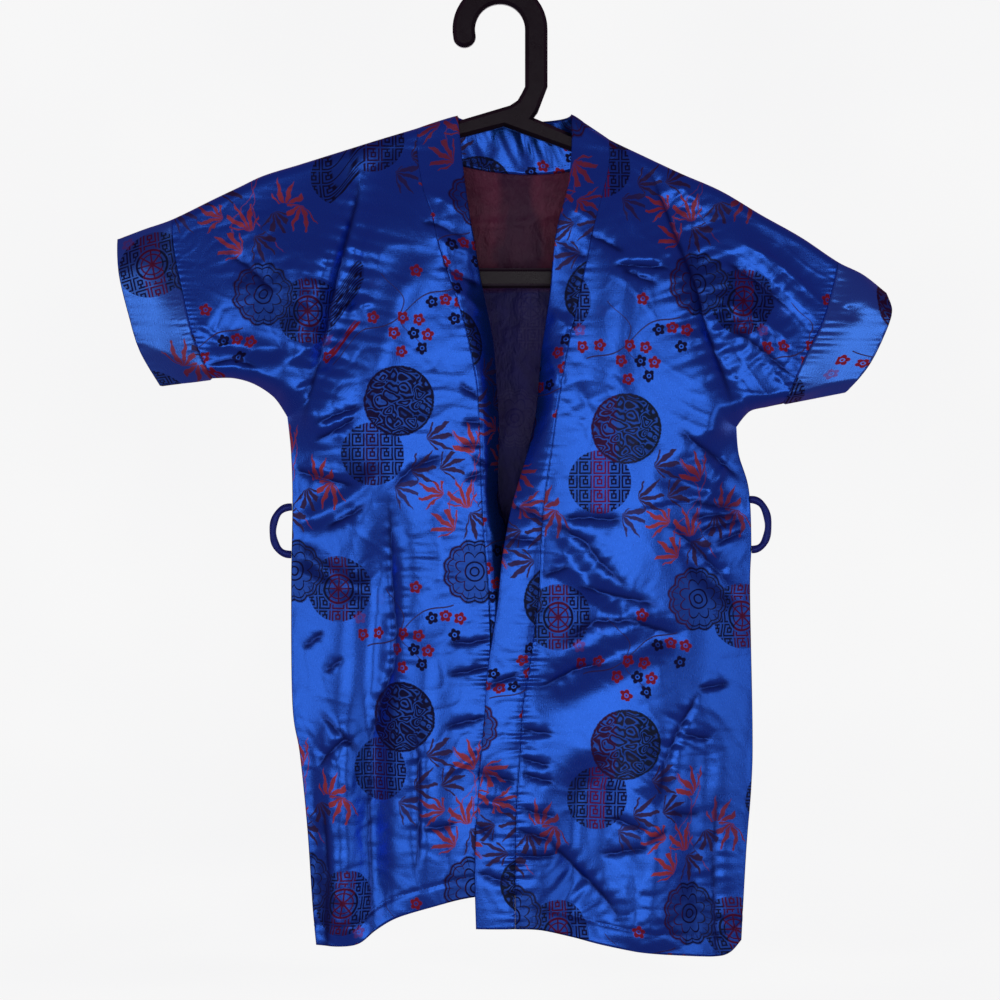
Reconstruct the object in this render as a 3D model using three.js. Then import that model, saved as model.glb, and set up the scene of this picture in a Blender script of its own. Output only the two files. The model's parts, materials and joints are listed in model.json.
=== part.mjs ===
// A child's short-sleeved kimono robe hanging on a moulded hanger with a trouser bar.
// Millimetres. X runs to the viewer's right, the front faces -Y and Z is up.
// The origin is the inside top of the hanger's hook, where a rail carries it.
// Left and right are the viewer's.
import * as THREE from 'three';
import { mergeVertices } from 'three/addons/utils/BufferGeometryUtils.js';

// Driving dimensions of the cloth
const WALL = 1.4; // satin with its turned edges and pressed seams
const SEAM_GAP = 0.3; // between two pieces that are sewn together
const ARM_ROLL = 6.6; // inside radius of the cloth over the hanger's arms
const CUFF_ROLL = 4; // the same at the cuffs, past the arms
const ARM_END = 200; // how far out from the middle the arms keep the cloth open
const BODY_OPEN = 21; // half the space between front and back, past the roll
const SLEEVE_OPEN = 8;
const BODY_HALF = 150; // the body's opening starts to close this far from the middle
const SLEEVE_START = 215;
const OPEN_DROP = 95; // how far below the shoulder the robe is fully open
const LAP = 5; // how far the right front stands off the left one
const LAP_EDGE = 62; // the lap has run out this far to the right of the middle
const LAP_FADE = 50;
const MIDDLE = 10; // the robe hangs this far to the right of the hook
const MIN_SHARE = 0.6; // least cosine for a wall that is measured straight out
const FOLD_CLEAR = 14; // folds die away this close to a seam
const FOLD_FADE = { start: 0.25, end: 0.3, past: 1.12 }; // as shares of a fold's length

// Driving dimensions of the hanger
const HOOK_RADIUS = 20;
const HOOK_WIDTH = 18;
const HANGER_HALF = 5; // half its thickness
const HANGER_BEVEL = 3;
const HOOK_PAST_HALF = 0.2; // how far past a half turn the hook reaches, in radians
const HOOK_SEGMENTS = 13;
const ARM_DEPTH = 14;
const ARM_CLEAR = 0.95; // between an arm's top and the cloth
const BAR_TOP = -211;
const BAR_DEPTH = 16;

// Belt loops
const LOOP_RADIUS = 3;
const LOOP_GAP = 0.4; // from the side seam's edge to the loop's end
const LOOP_SIDES = 8;
const LOOP_STEPS = 10;

const MERGE_WITHIN = 1e-4; // vertices this close are one
const POINT_APART = 0.05; // outline points closer than this are one
const CLOTH_BLUE = 0x2447b4;
const BAND_BLUE = 0x1f3da0;
const HANGER_BLACK = 0x17181a;

// The top line of the robe's outer face, from cuff to cuff, over the neck too
const SHOULDER = [
  { x: -306, z: -188 }, { x: -285, z: -180 }, { x: -262, z: -172 }, { x: -227, z: -155 },
  { x: -208, z: -146 }, { x: -189, z: -137 }, { x: -160, z: -128 }, { x: -128, z: -118 },
  { x: -96, z: -108 }, { x: -66, z: -99 }, { x: -34, z: -89 }, { x: 10, z: -86 },
  { x: 57, z: -88 }, { x: 72, z: -99 }, { x: 87, z: -108 }, { x: 112, z: -120 },
  { x: 144, z: -135 }, { x: 176, z: -149 }, { x: 208, z: -168 }, { x: 240, z: -186 },
  { x: 270, z: -206 }, { x: 290, z: -216 }, { x: 309, z: -231 },
];

// Each half's outline. The side seam runs from the cuff round the underarm to the hem, and
// roll is how far from the seam the cloth reaches its full depth.
const LEFT = {
  sign: -1,
  armhole: { x: -128, z: -118 },
  underarm: { x: -170, z: -330 },
  seam: [
    { x: -230, z: -299, roll: 9 }, { x: -213, z: -299, roll: 10 },
    { x: -196, z: -304, roll: 12 }, { x: -180, z: -315, roll: 16 },
    { x: -170, z: -330, roll: 26 }, { x: -167, z: -360, roll: 60 },
    { x: -166, z: -400, roll: 95 }, { x: -167, z: -470, roll: 110 },
    { x: -166, z: -560, roll: 110 }, { x: -160, z: -600, roll: 110 },
    { x: -154, z: -660, roll: 110 }, { x: -150, z: -720, roll: 110 },
    { x: -147, z: -752, roll: 110 },
  ],
  cuffSeam: [
    { x: -262, z: -172 }, { x: -260, z: -198 }, { x: -252, z: -234 },
    { x: -244, z: -266 }, { x: -230, z: -299 },
  ],
  cuffEdge: [
    { x: -306, z: -188 }, { x: -303, z: -218 }, { x: -296, z: -248 },
    { x: -287, z: -278 }, { x: -272, z: -305 },
  ],
  cuffCrease: { seam: 0.94, edge: 0.68 },
  cuffDepth: { middle: 17, edge: 15 },
  hem: [
    { x: -147, z: -752 }, { x: -128, z: -752 }, { x: -112, z: -749 }, { x: -98, z: -738 },
    { x: -80, z: -727 }, { x: -50, z: -717 }, { x: -25, z: -711 }, { x: -4, z: -709 },
  ],
  band: [
    { z: -99, seam: -66, free: -34, turn: 0 }, { z: -120, seam: -66, free: -31, turn: 0 },
    { z: -150, seam: -61, free: -27, turn: 2 }, { z: -170, seam: -54, free: -24, turn: 6 },
    { z: -192, seam: -49, free: -20, turn: 12 }, { z: -217, seam: -41, free: -16, turn: 17 },
    { z: -246, seam: -31, free: -10, turn: 21 }, { z: -273, seam: -24, free: -5, turn: 22 },
    { z: -305, seam: -18, free: -3, turn: 22 }, { z: -341, seam: -16, free: -1, turn: 22 },
    { z: -374, seam: -15, free: -2, turn: 22 }, { z: -398, seam: -14, free: -1, turn: 22 },
    { z: -420, seam: -13, free: 5, turn: 20 }, { z: -453, seam: -10, free: 12, turn: 17 },
    { z: -504, seam: -7, free: 22, turn: 10 }, { z: -556, seam: -6, free: 25, turn: 5 },
    { z: -620, seam: -5, free: 27, turn: 3 }, { z: -709, seam: -4, free: 28, turn: 2 },
  ],
  loop: { top: -402, bottom: -440, reach: 15 },
};

const RIGHT = {
  sign: 1,
  armhole: { x: 144, z: -135 },
  underarm: { x: 189, z: -338 },
  seam: [
    { x: 226, z: -319, roll: 9 }, { x: 213, z: -322, roll: 10 },
    { x: 199, z: -326, roll: 14 }, { x: 189, z: -338, roll: 26 },
    { x: 191, z: -360, roll: 60 }, { x: 199, z: -388, roll: 95 },
    { x: 201, z: -430, roll: 110 }, { x: 200, z: -470, roll: 110 },
    { x: 202, z: -580, roll: 110 }, { x: 201, z: -625, roll: 110 },
    { x: 197, z: -676, roll: 110 }, { x: 193, z: -748, roll: 110 },
  ],
  cuffSeam: [
    { x: 270, z: -206 }, { x: 264, z: -232 }, { x: 256, z: -256 },
    { x: 242, z: -284 }, { x: 226, z: -319 },
  ],
  cuffEdge: [
    { x: 309, z: -231 }, { x: 312, z: -246 }, { x: 306, z: -265 },
    { x: 294, z: -289 }, { x: 278, z: -309 },
  ],
  cuffCrease: { seam: 0.94, edge: 0.86 },
  cuffDepth: { middle: 18, edge: 11 },
  hem: [
    { x: 193, z: -748 }, { x: 184, z: -757 }, { x: 172, z: -760 }, { x: 144, z: -758 },
    { x: 112, z: -754 }, { x: 80, z: -748 }, { x: 56, z: -742 }, { x: 32, z: -736 },
    { x: 12, z: -735 },
  ],
  band: [
    { z: -108, seam: 87, free: 57, turn: 0 }, { z: -128, seam: 87, free: 57, turn: 0 },
    { z: -151, seam: 82, free: 53, turn: 2 }, { z: -181, seam: 74, free: 45, turn: 4 },
    { z: -204, seam: 69, free: 42, turn: 7 }, { z: -228, seam: 64, free: 40, turn: 12 },
    { z: -251, seam: 59, free: 37, turn: 16 }, { z: -278, seam: 53, free: 33, turn: 19 },
    { z: -301, seam: 49, free: 31, turn: 21 }, { z: -325, seam: 45, free: 29, turn: 21 },
    { z: -361, seam: 40, free: 21, turn: 16 }, { z: -398, seam: 35, free: 10, turn: 9 },
    { z: -422, seam: 33, free: 5, turn: 4 }, { z: -447, seam: 32, free: 1, turn: 1 },
    { z: -478, seam: 30, free: -2, turn: 0 }, { z: -531, seam: 23, free: -10, turn: 0 },
    { z: -561, seam: 18, free: -12, turn: 0 }, { z: -598, seam: 16, free: -15, turn: 0 },
    { z: -640, seam: 13, free: -18, turn: 0 }, { z: -690, seam: 12, free: -20, turn: 0 },
    { z: -735, seam: 12, free: -19, turn: 0 },
  ],
  loop: { top: -396, bottom: -436, reach: 14 },
};

const BACK_HEM = [
  { x: -147, z: -752 }, { x: -110, z: -736 }, { x: -60, z: -718 }, { x: 0, z: -714 },
  { x: 60, z: -722 }, { x: 120, z: -738 }, { x: 193, z: -748 },
];
const BACK_NECK = { drop: 29, power: 0.8 }; // the neckline's fall below the shoulder points
const BAND_BACK = { depth: 16, power: 0.7, dip: 2.5 }; // the band's free edge behind the hanger
const BAND_RISE = 40; // the free edge meets the seam's height this far below the shoulder
const BAND_TURN_POWER = 1.3; // how late across its width the band turns in
const CUFF_SHAPE = { riseShare: 0.45, risePower: 0.8, blend: 1.6, narrowFrom: 0.5 };

// Large folds. Each runs from its start to its end with a sideways bow in the middle;
// height is a ridge where positive and a trough where negative.
const FRONT_FOLDS = [
  { x0: -104, z0: -112, x1: -158, z1: -325, bow: -12, width: 13, height: -7 },
  { x0: -128, z0: -165, x1: -180, z1: -300, bow: -8, width: 12, height: 4 },
  { x0: 150, z0: -142, x1: 190, z1: -322, bow: 5, width: 13, height: -7 },
  { x0: 176, z0: -170, x1: 256, z1: -252, bow: 4, width: 10, height: 4 },
  { x0: 164, z0: -228, x1: 230, z1: -292, bow: 3, width: 10, height: 4 },
  { x0: -240, z0: -262, x1: -165, z1: -278, bow: 5, width: 9, height: -4 },
  { x0: -86, z0: -375, x1: -98, z1: -742, bow: 10, width: 16, height: -12 },
  { x0: -128, z0: -540, x1: -126, z1: -752, bow: 0, width: 16, height: 8 },
  { x0: -50, z0: -480, x1: -52, z1: -720, bow: 5, width: 16, height: 5 },
  { x0: -166, z0: -418, x1: -96, z1: -372, bow: 6, width: 9, height: -4 },
  { x0: -166, z0: -430, x1: -110, z1: -470, bow: 4, width: 9, height: -4 },
  { x0: 38, z0: -420, x1: 98, z1: -486, bow: 4, width: 10, height: -5 },
  { x0: 152, z0: -498, x1: 36, z1: -550, bow: 5, width: 13, height: -6 },
  { x0: 130, z0: -412, x1: 190, z1: -478, bow: 4, width: 9, height: -4 },
  { x0: 198, z0: -416, x1: 128, z1: -376, bow: 5, width: 9, height: -4 },
  { x0: 74, z0: -590, x1: 62, z1: -744, bow: 8, width: 17, height: -8 },
  { x0: 118, z0: -610, x1: 116, z1: -756, bow: -5, width: 17, height: 7 },
  { x0: 164, z0: -560, x1: 160, z1: -756, bow: 3, width: 13, height: -5 },
  { x0: -60, z0: -200, x1: -98, z1: -330, bow: 8, width: 12, height: 4 },
  { x0: 100, z0: -190, x1: 92, z1: -330, bow: 6, width: 14, height: 4 },
];
const BACK_FOLDS = [
  { x0: -110, z0: -118, x1: -156, z1: -322, bow: -8, width: 14, height: -7 },
  { x0: 128, z0: -134, x1: 182, z1: -325, bow: 8, width: 14, height: -7 },
  { x0: -170, z0: -200, x1: -236, z1: -262, bow: -4, width: 10, height: 4 },
  { x0: 184, z0: -220, x1: 244, z1: -272, bow: 3, width: 10, height: 4 },
  { x0: -94, z0: -340, x1: -104, z1: -730, bow: 8, width: 17, height: -10 },
  { x0: -40, z0: -430, x1: -34, z1: -714, bow: -5, width: 16, height: 6 },
  { x0: 24, z0: -380, x1: 38, z1: -716, bow: 6, width: 17, height: -8 },
  { x0: 104, z0: -420, x1: 96, z1: -732, bow: -6, width: 17, height: 6 },
  { x0: 152, z0: -520, x1: 150, z1: -742, bow: 4, width: 14, height: -6 },
  { x0: -164, z0: -420, x1: -100, z1: -385, bow: 5, width: 9, height: -4 },
  { x0: 198, z0: -416, x1: 132, z1: -380, bow: 5, width: 9, height: -4 },
  { x0: 0, z0: -180, x1: 4, z1: -330, bow: 4, width: 20, height: 4 },
];

// How finely the cloth is laid out, as shares of a patch
const ROLL_ROWS = [0, 0.004, 0.015, 0.031];
const YOKE_ROWS = [...ROLL_ROWS, ...steps(0.09, 0.89, 8), 0.935, 0.97, 1];
const SKIRT_ROWS = steps(0, 1, 20);
const SLEEVE_COLUMNS = steps(0, 1, 7);
const FRONT_COLUMNS = steps(0, 1, 10);
const BACK_SHOULDER_COLUMNS = steps(0, 1, 4);
const NECK_ANGLES = [0, 1, 3, 8, 16, 28, 45, 67, 90, 113, 135, 152, 164, 172, 177, 179, 180];
const BAND_COLUMNS = [0, 0.25, 0.5, 0.75, 1];
const CUFF_COLUMNS = [0, 0.3, 0.65, 1];
const COLUMN_SPREAD = 1.5; // how soon the columns have spread, in patch heights

/** Evenly spaced values from first to last, both included. */
function steps(first, last, count) {
  return Array.from({ length: count + 1 }, (_, i) => first + ((last - first) * i) / count);
}

/** A soft rise from 0 to 1 as t goes from 0 to 1. */
function soft(t) {
  const held = Math.min(1, Math.max(0, t));
  return held * held * (3 - 2 * held);
}

/** Reads a table of rows at one value of a column, with smooth curves between the rows. */
function readTable(table, key, at) {
  const rows = table[0][key] < table[table.length - 1][key] ? table : [...table].reverse();
  const last = rows.length - 1;
  const held = Math.min(rows[last][key], Math.max(rows[0][key], at));
  let low = 0;
  while (low < last - 1 && rows[low + 1][key] < held) low += 1;
  const span = rows[low + 1][key] - rows[low][key];
  const t = (held - rows[low][key]) / span;
  const slope = (name, i) => {
    const a = Math.max(0, i - 1);
    const b = Math.min(last, i + 1);
    return ((rows[b][name] - rows[a][name]) / (rows[b][key] - rows[a][key])) * span;
  };
  const read = {};
  for (const name of Object.keys(rows[0])) {
    const [p, q] = [rows[low][name], rows[low + 1][name]];
    const [m, n] = [slope(name, low), slope(name, low + 1)];
    read[name] = p * (1 + 2 * t) * (1 - t) ** 2 + m * t * (1 - t) ** 2
      + q * t * t * (3 - 2 * t) - n * t * t * (1 - t);
  }
  return read;
}

/** The height of the robe's inside under its top line. */
function shoulderInside(x) {
  return readTable(SHOULDER, 'x', x).z - WALL;
}

/** The inside radius of the cloth where it folds over at the top. */
function rollAt(x) {
  const past = (Math.abs(x) - ARM_END) / (Math.abs(SHOULDER[0].x) - ARM_END);
  return THREE.MathUtils.lerp(ARM_ROLL, CUFF_ROLL, soft(past));
}

/** A spline through table rows, as a function of the share of its length. */
function edgeOf(rows) {
  const curve = new THREE.SplineCurve(rows.map((row) => new THREE.Vector2(row.x, row.z)));
  curve.arcLengthDivisions = 400;
  return (share) => curve.getPointAt(share);
}

/** A straight edge between two rows. */
function straight(from, to) {
  const [a, b] = [new THREE.Vector2(from.x, from.z), new THREE.Vector2(to.x, to.z)];
  return (share) => a.clone().lerp(b, share);
}

/** The top line between two places, as an edge of the cloth's inside. */
function shoulderEdge(fromX, toX) {
  return (share) => {
    const x = THREE.MathUtils.lerp(fromX, toX, share);
    return new THREE.Vector2(x, shoulderInside(x));
  };
}

/** The nearest place on a half's side seam: its distance and its roll. */
function nearSeam(half, x, z) {
  let best = { distance: Infinity, roll: 1 };
  for (let i = 0; i < half.seam.length - 1; i += 1) {
    const [a, b] = [half.seam[i], half.seam[i + 1]];
    const [dx, dz] = [b.x - a.x, b.z - a.z];
    const share = ((x - a.x) * dx + (z - a.z) * dz) / (dx * dx + dz * dz);
    const t = Math.min(1, Math.max(0, share));
    const distance = Math.hypot(x - a.x - dx * t, z - a.z - dz * t);
    if (distance < best.distance) best = { distance, roll: a.roll + (b.roll - a.roll) * t };
  }
  return best;
}

/** What the large folds add to the depth at a place. */
function foldsAt(folds, x, z) {
  let sum = 0;
  for (const fold of folds) {
    const [dx, dz] = [fold.x1 - fold.x0, fold.z1 - fold.z0];
    const length = Math.hypot(dx, dz);
    const along = ((x - fold.x0) * dx + (z - fold.z0) * dz) / length ** 2;
    const bow = fold.bow * 4 * along * (1 - along);
    const across = ((x - fold.x0) * dz - (z - fold.z0) * dx) / length - bow;
    const fade = soft(along / FOLD_FADE.start) * soft((FOLD_FADE.past - along) / FOLD_FADE.end);
    sum += fold.height * fade * Math.exp(-((across / fold.width) ** 2));
  }
  return sum;
}

/** How far the inside of the cloth lies from the middle plane, front or back. */
function depthAt(x, z, folds) {
  const half = x < MIDDLE ? LEFT : RIGHT;
  const roll = rollAt(x);
  const drop = Math.max(0, shoulderInside(x) - z);
  const round = drop < roll ? Math.sqrt(roll ** 2 - (roll - drop) ** 2) : roll;
  const apart = soft((Math.abs(x - MIDDLE) - BODY_HALF) / (SLEEVE_START - BODY_HALF));
  const open = THREE.MathUtils.lerp(BODY_OPEN, SLEEVE_OPEN, apart) * soft(drop / OPEN_DROP);
  const near = nearSeam(half, x, z);
  const side = Math.sin((Math.PI / 2) * Math.min(1, near.distance / near.roll));
  const clear = soft(near.distance / FOLD_CLEAR) * soft((drop - roll) / FOLD_CLEAR);
  return (round + open) * side + foldsAt(folds, x, z) * clear;
}

/** What the right front adds so that it lies over the left one. */
function lapAt(x) {
  return LAP * soft((LAP_EDGE - x) / LAP_FADE);
}

/**
 * A four-sided patch between four edges that meet at its corners, as rows of points.
 * The columns spread from their places along the top to their places along the bottom.
 */
function patch({ top, bottom, left, right }, columns, rows, lowColumns = columns) {
  const [nw, ne, sw, se] = [top(0), top(1), bottom(0), bottom(1)];
  const point = (u, v) => {
    const [t, b, l, r] = [top(u), bottom(u), left(v), right(v)];
    const mix = (axis) => t[axis] * (1 - v) + b[axis] * v + l[axis] * (1 - u) + r[axis] * u
      - nw[axis] * (1 - u) * (1 - v) - ne[axis] * u * (1 - v)
      - sw[axis] * (1 - u) * v - se[axis] * u * v;
    return { x: mix('x'), z: mix('y') };
  };
  return rows.map((v) => columns.map((u, i) => {
    return point(THREE.MathUtils.lerp(u, lowColumns[i], soft(v * COLUMN_SPREAD)), v);
  }));
}

/** The direction in which a wall's outer face lies at its edges. */
function outward(p) {
  const core = shoulderInside(p.x) - rollAt(p.x);
  return new THREE.Vector3(0, p.y, Math.max(0, p.z - core)).normalize();
}

/** Joins grids of points into one net, with the points that they share made one. */
function netOf(grids) {
  const net = { points: [], quads: [] };
  const known = new Map();
  const place = (p) => {
    const key = [p.x, p.y, p.z].map((value) => value.toFixed(4)).join(' ');
    if (!known.has(key)) {
      known.set(key, net.points.length);
      net.points.push(p);
    }
    return known.get(key);
  };
  for (const grid of grids) {
    const at = grid.map((row) => row.map(place));
    for (let i = 0; i < at.length - 1; i += 1) {
      for (let j = 0; j < at[i].length - 1; j += 1) {
        net.quads.push([at[i][j], at[i][j + 1], at[i + 1][j + 1], at[i + 1][j]]);
      }
    }
  }
  return net;
}

/** The net's triangles, its edges that only one triangle has, and its mean normals. */
function netFaces(net) {
  const triangles = net.quads.flatMap(([a, b, c, d]) => [[a, b, c], [a, c, d]]);
  const normals = net.points.map(() => new THREE.Vector3());
  const directed = new Map();
  const [ab, ac] = [new THREE.Vector3(), new THREE.Vector3()];
  for (const [a, b, c] of triangles) {
    ab.subVectors(net.points[b], net.points[a]);
    ac.subVectors(net.points[c], net.points[a]);
    ab.cross(ac);
    for (const corner of [a, b, c]) normals[corner].add(ab);
    for (const [from, to] of [[a, b], [b, c], [c, a]]) directed.set(`${from} ${to}`, [from, to]);
  }
  normals.forEach((normal) => normal.normalize());
  const rim = [...directed.values()].filter(([from, to]) => !directed.has(`${to} ${from}`));
  return { triangles, normals, rim };
}

/** A cloth wall on a net of its inside points: both faces and the rims between them. */
function clothWall(net) {
  let { triangles, normals, rim } = netFaces(net);
  const facing = net.points.reduce((sum, p, i) => sum + normals[i].dot(outward(p)), 0);
  if (facing < 0) {
    net.quads.forEach((quad) => quad.reverse());
    ({ triangles, normals, rim } = netFaces(net));
  }
  const edge = new Set(rim.flat());
  const outer = net.points.map((p, i) => {
    if (!edge.has(i)) return p.clone().addScaledVector(normals[i], WALL);
    const out = outward(p);
    const reach = WALL / Math.max(MIN_SHARE, out.dot(normals[i]));
    return p.clone().addScaledVector(out, reach);
  });
  const count = net.points.length;
  const index = [];
  for (const [a, b, c] of triangles) index.push(a + count, b + count, c + count, a, c, b);
  for (const [a, b] of rim) index.push(a, b, b + count, a, b + count, a + count);
  const geometry = new THREE.BufferGeometry();
  const places = [...net.points, ...outer].flatMap((p) => [p.x, p.y, p.z]);
  geometry.setAttribute('position', new THREE.Float32BufferAttribute(places, 3));
  geometry.setIndex(index);
  geometry.computeVertexNormals();
  return geometry;
}

/** Lays rows of flat points at the robe's depth on the front, -1, or the back, 1. */
function drape(rows, facing, folds, lap) {
  return rows.map((row) => row.map(({ x, z }) => {
    const depth = depthAt(x, z, folds) + lap(x) + SEAM_GAP / 2;
    return new THREE.Vector3(x, facing * depth, z);
  }));
}

/** A half's edges: its armhole line, underarm, side and cuff seams, from the top down. */
function halfEdges(half) {
  const turn = half.seam.findIndex((row) => row.x === half.underarm.x && row.z === half.underarm.z);
  const armTop = { x: half.armhole.x, z: shoulderInside(half.armhole.x) };
  const cuffTop = { x: half.cuffSeam[0].x, z: shoulderInside(half.cuffSeam[0].x) };
  return {
    armhole: straight(armTop, half.underarm),
    underarm: edgeOf(half.seam.slice(0, turn + 1)),
    side: edgeOf(half.seam.slice(turn)),
    cuffSeam: edgeOf([cuffTop, ...half.cuffSeam.slice(1)]),
  };
}

/** The flat rows of a half's sleeve, from its cuff seam to the armhole line. */
function sleeveRows(half, edges) {
  return patch({
    top: shoulderEdge(half.cuffSeam[0].x, half.armhole.x),
    bottom: edges.underarm,
    left: edges.cuffSeam,
    right: edges.armhole,
  }, SLEEVE_COLUMNS, YOKE_ROWS);
}

/** The band's seam as an edge between two heights. */
function seamEdge(half, fromZ, toZ) {
  return (share) => {
    const z = THREE.MathUtils.lerp(fromZ, toZ, share);
    return new THREE.Vector2(readTable(half.band, 'z', z).seam, z);
  };
}

/** A front: the sleeve, the yoke and the skirt in one piece, and its edge along the band. */
function frontPiece(half, lap) {
  const edges = halfEdges(half);
  const neckX = half.band[0].seam;
  const neckZ = shoulderInside(neckX);
  const middleZ = half.underarm.z;
  const hemZ = half.hem[half.hem.length - 1].z;
  const across = straight(half.underarm, { x: readTable(half.band, 'z', middleZ).seam, z: middleZ });
  const yoke = patch({
    top: shoulderEdge(half.armhole.x, neckX),
    bottom: across,
    left: edges.armhole,
    right: seamEdge(half, neckZ, middleZ),
  }, FRONT_COLUMNS, YOKE_ROWS);
  const skirt = patch({
    top: across,
    bottom: edgeOf(half.hem),
    left: edges.side,
    right: seamEdge(half, middleZ, hemZ),
  }, FRONT_COLUMNS, SKIRT_ROWS);
  const grids = [sleeveRows(half, edges), yoke, skirt]
    .map((rows) => drape(rows, -1, FRONT_FOLDS, lap));
  const bandEdge = [...grids[1], ...grids[2].slice(1)].map((row) => row[row.length - 1]);
  return { geometry: clothWall(netOf(grids)), bandEdge };
}

/** The back neckline, from the left shoulder point to the right one. */
function neckPoint(degrees) {
  const [left, right] = [LEFT.band[0].seam, RIGHT.band[0].seam];
  const angle = THREE.MathUtils.degToRad(degrees);
  const share = (1 - Math.cos(angle)) / 2;
  const fall = BACK_NECK.drop * Math.max(0, Math.sin(angle)) ** BACK_NECK.power;
  const top = THREE.MathUtils.lerp(shoulderInside(left), shoulderInside(right), share);
  return new THREE.Vector2(THREE.MathUtils.lerp(left, right, share), top - fall);
}

/** The back: both sleeves, the yoke and the skirt in one piece, and its neckline edge. */
function backPiece() {
  const [left, right] = [halfEdges(LEFT), halfEdges(RIGHT)];
  const neckLeft = LEFT.band[0].seam;
  const neckRight = RIGHT.band[0].seam;
  const middle = straight(LEFT.underarm, RIGHT.underarm);
  const shares = backShares();
  const yokeTop = (share) => {
    const { start, end } = shares;
    if (share <= start) return shoulderEdge(LEFT.armhole.x, neckLeft)(share / start);
    if (share >= end) return shoulderEdge(neckRight, RIGHT.armhole.x)((share - end) / (1 - end));
    return neckPoint(shares.degrees(share));
  };
  const even = steps(0, 1, shares.columns.length - 1);
  const yoke = patch({ top: yokeTop, bottom: middle, left: left.armhole, right: right.armhole },
    shares.columns, YOKE_ROWS, even);
  const skirt = patch({ top: middle, bottom: edgeOf(BACK_HEM), left: left.side, right: right.side },
    even, SKIRT_ROWS);
  const sleeves = [sleeveRows(LEFT, left), sleeveRows(RIGHT, right).map((row) => row.reverse())];
  const grids = [sleeves[0], yoke, skirt, sleeves[1]]
    .map((rows) => drape(rows, 1, BACK_FOLDS, () => 0));
  const first = shares.columns.indexOf(shares.start);
  const neckEdge = grids[1][0].slice(first, first + NECK_ANGLES.length);
  return { geometry: clothWall(netOf(grids)), neckEdge };
}

/** The back's columns: even over each shoulder, and set by angle round the neckline. */
function backShares() {
  const width = RIGHT.armhole.x - LEFT.armhole.x;
  const start = (LEFT.band[0].seam - LEFT.armhole.x) / width;
  const end = (RIGHT.band[0].seam - LEFT.armhole.x) / width;
  const ofAngle = (degrees) => {
    const share = (1 - Math.cos(THREE.MathUtils.degToRad(degrees))) / 2;
    return start + (end - start) * share;
  };
  const degrees = (share) => {
    const cosine = 1 - (2 * (share - start)) / (end - start);
    return THREE.MathUtils.radToDeg(Math.acos(Math.min(1, Math.max(-1, cosine))));
  };
  const columns = [
    ...BACK_SHOULDER_COLUMNS.slice(0, -1).map((t) => t * start),
    ...NECK_ANGLES.map(ofAngle),
    ...BACK_SHOULDER_COLUMNS.slice(1).map((t) => end + t * (1 - end)),
  ];
  return { start, end, columns, degrees };
}

/** One front stretch of the band: a row of points at each point of the front's edge. */
function bandFront(half, edge, lap) {
  const [seamTop, freeTop] = [half.band[0].seam, half.band[0].free];
  const rise = shoulderInside(freeTop) - shoulderInside(seamTop);
  return edge.map((seam) => {
    const drop = shoulderInside(seamTop) - seam.z;
    const row = readTable(half.band, 'z', seam.z);
    const freeZ = seam.z + rise * (1 - soft(drop / BAND_RISE));
    return BAND_COLUMNS.map((t) => {
      const x = THREE.MathUtils.lerp(seam.x, row.free, t);
      const z = THREE.MathUtils.lerp(seam.z, freeZ, t);
      const depth = depthAt(x, z, FRONT_FOLDS) + lap(x) + SEAM_GAP / 2;
      return new THREE.Vector3(x, -depth + row.turn * t ** BAND_TURN_POWER, z);
    });
  });
}

/** The band behind the neck, from the left shoulder point to the right one. */
function bandNeck(edge) {
  const [left, right] = [LEFT.band[0].free, RIGHT.band[0].free];
  return edge.map((seam, i) => {
    const angle = THREE.MathUtils.degToRad(NECK_ANGLES[i]);
    const share = (1 - Math.cos(angle)) / 2;
    const round = Math.max(0, Math.sin(angle));
    const x = THREE.MathUtils.lerp(left, right, share);
    const top = THREE.MathUtils.lerp(shoulderInside(left), shoulderInside(right), share);
    const y = SEAM_GAP / 2 + BAND_BACK.depth * round ** BAND_BACK.power;
    const free = new THREE.Vector3(x, y, top - BAND_BACK.dip * round);
    return BAND_COLUMNS.map((t) => seam.clone().lerp(free, t));
  });
}

/** The neckband in one strip, up one front, round the neck and down the other. */
function neckband(leftEdge, neckEdge, rightEdge) {
  const rows = [
    ...bandFront(LEFT, leftEdge, () => 0).reverse(),
    ...bandNeck(neckEdge),
    ...bandFront(RIGHT, rightEdge, lapAt),
  ];
  for (const row of rows) {
    const aside = row[1].clone().sub(row[0]).setLength(SEAM_GAP);
    row[0].add(aside);
  }
  return clothWall(netOf([rows]));
}

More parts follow.
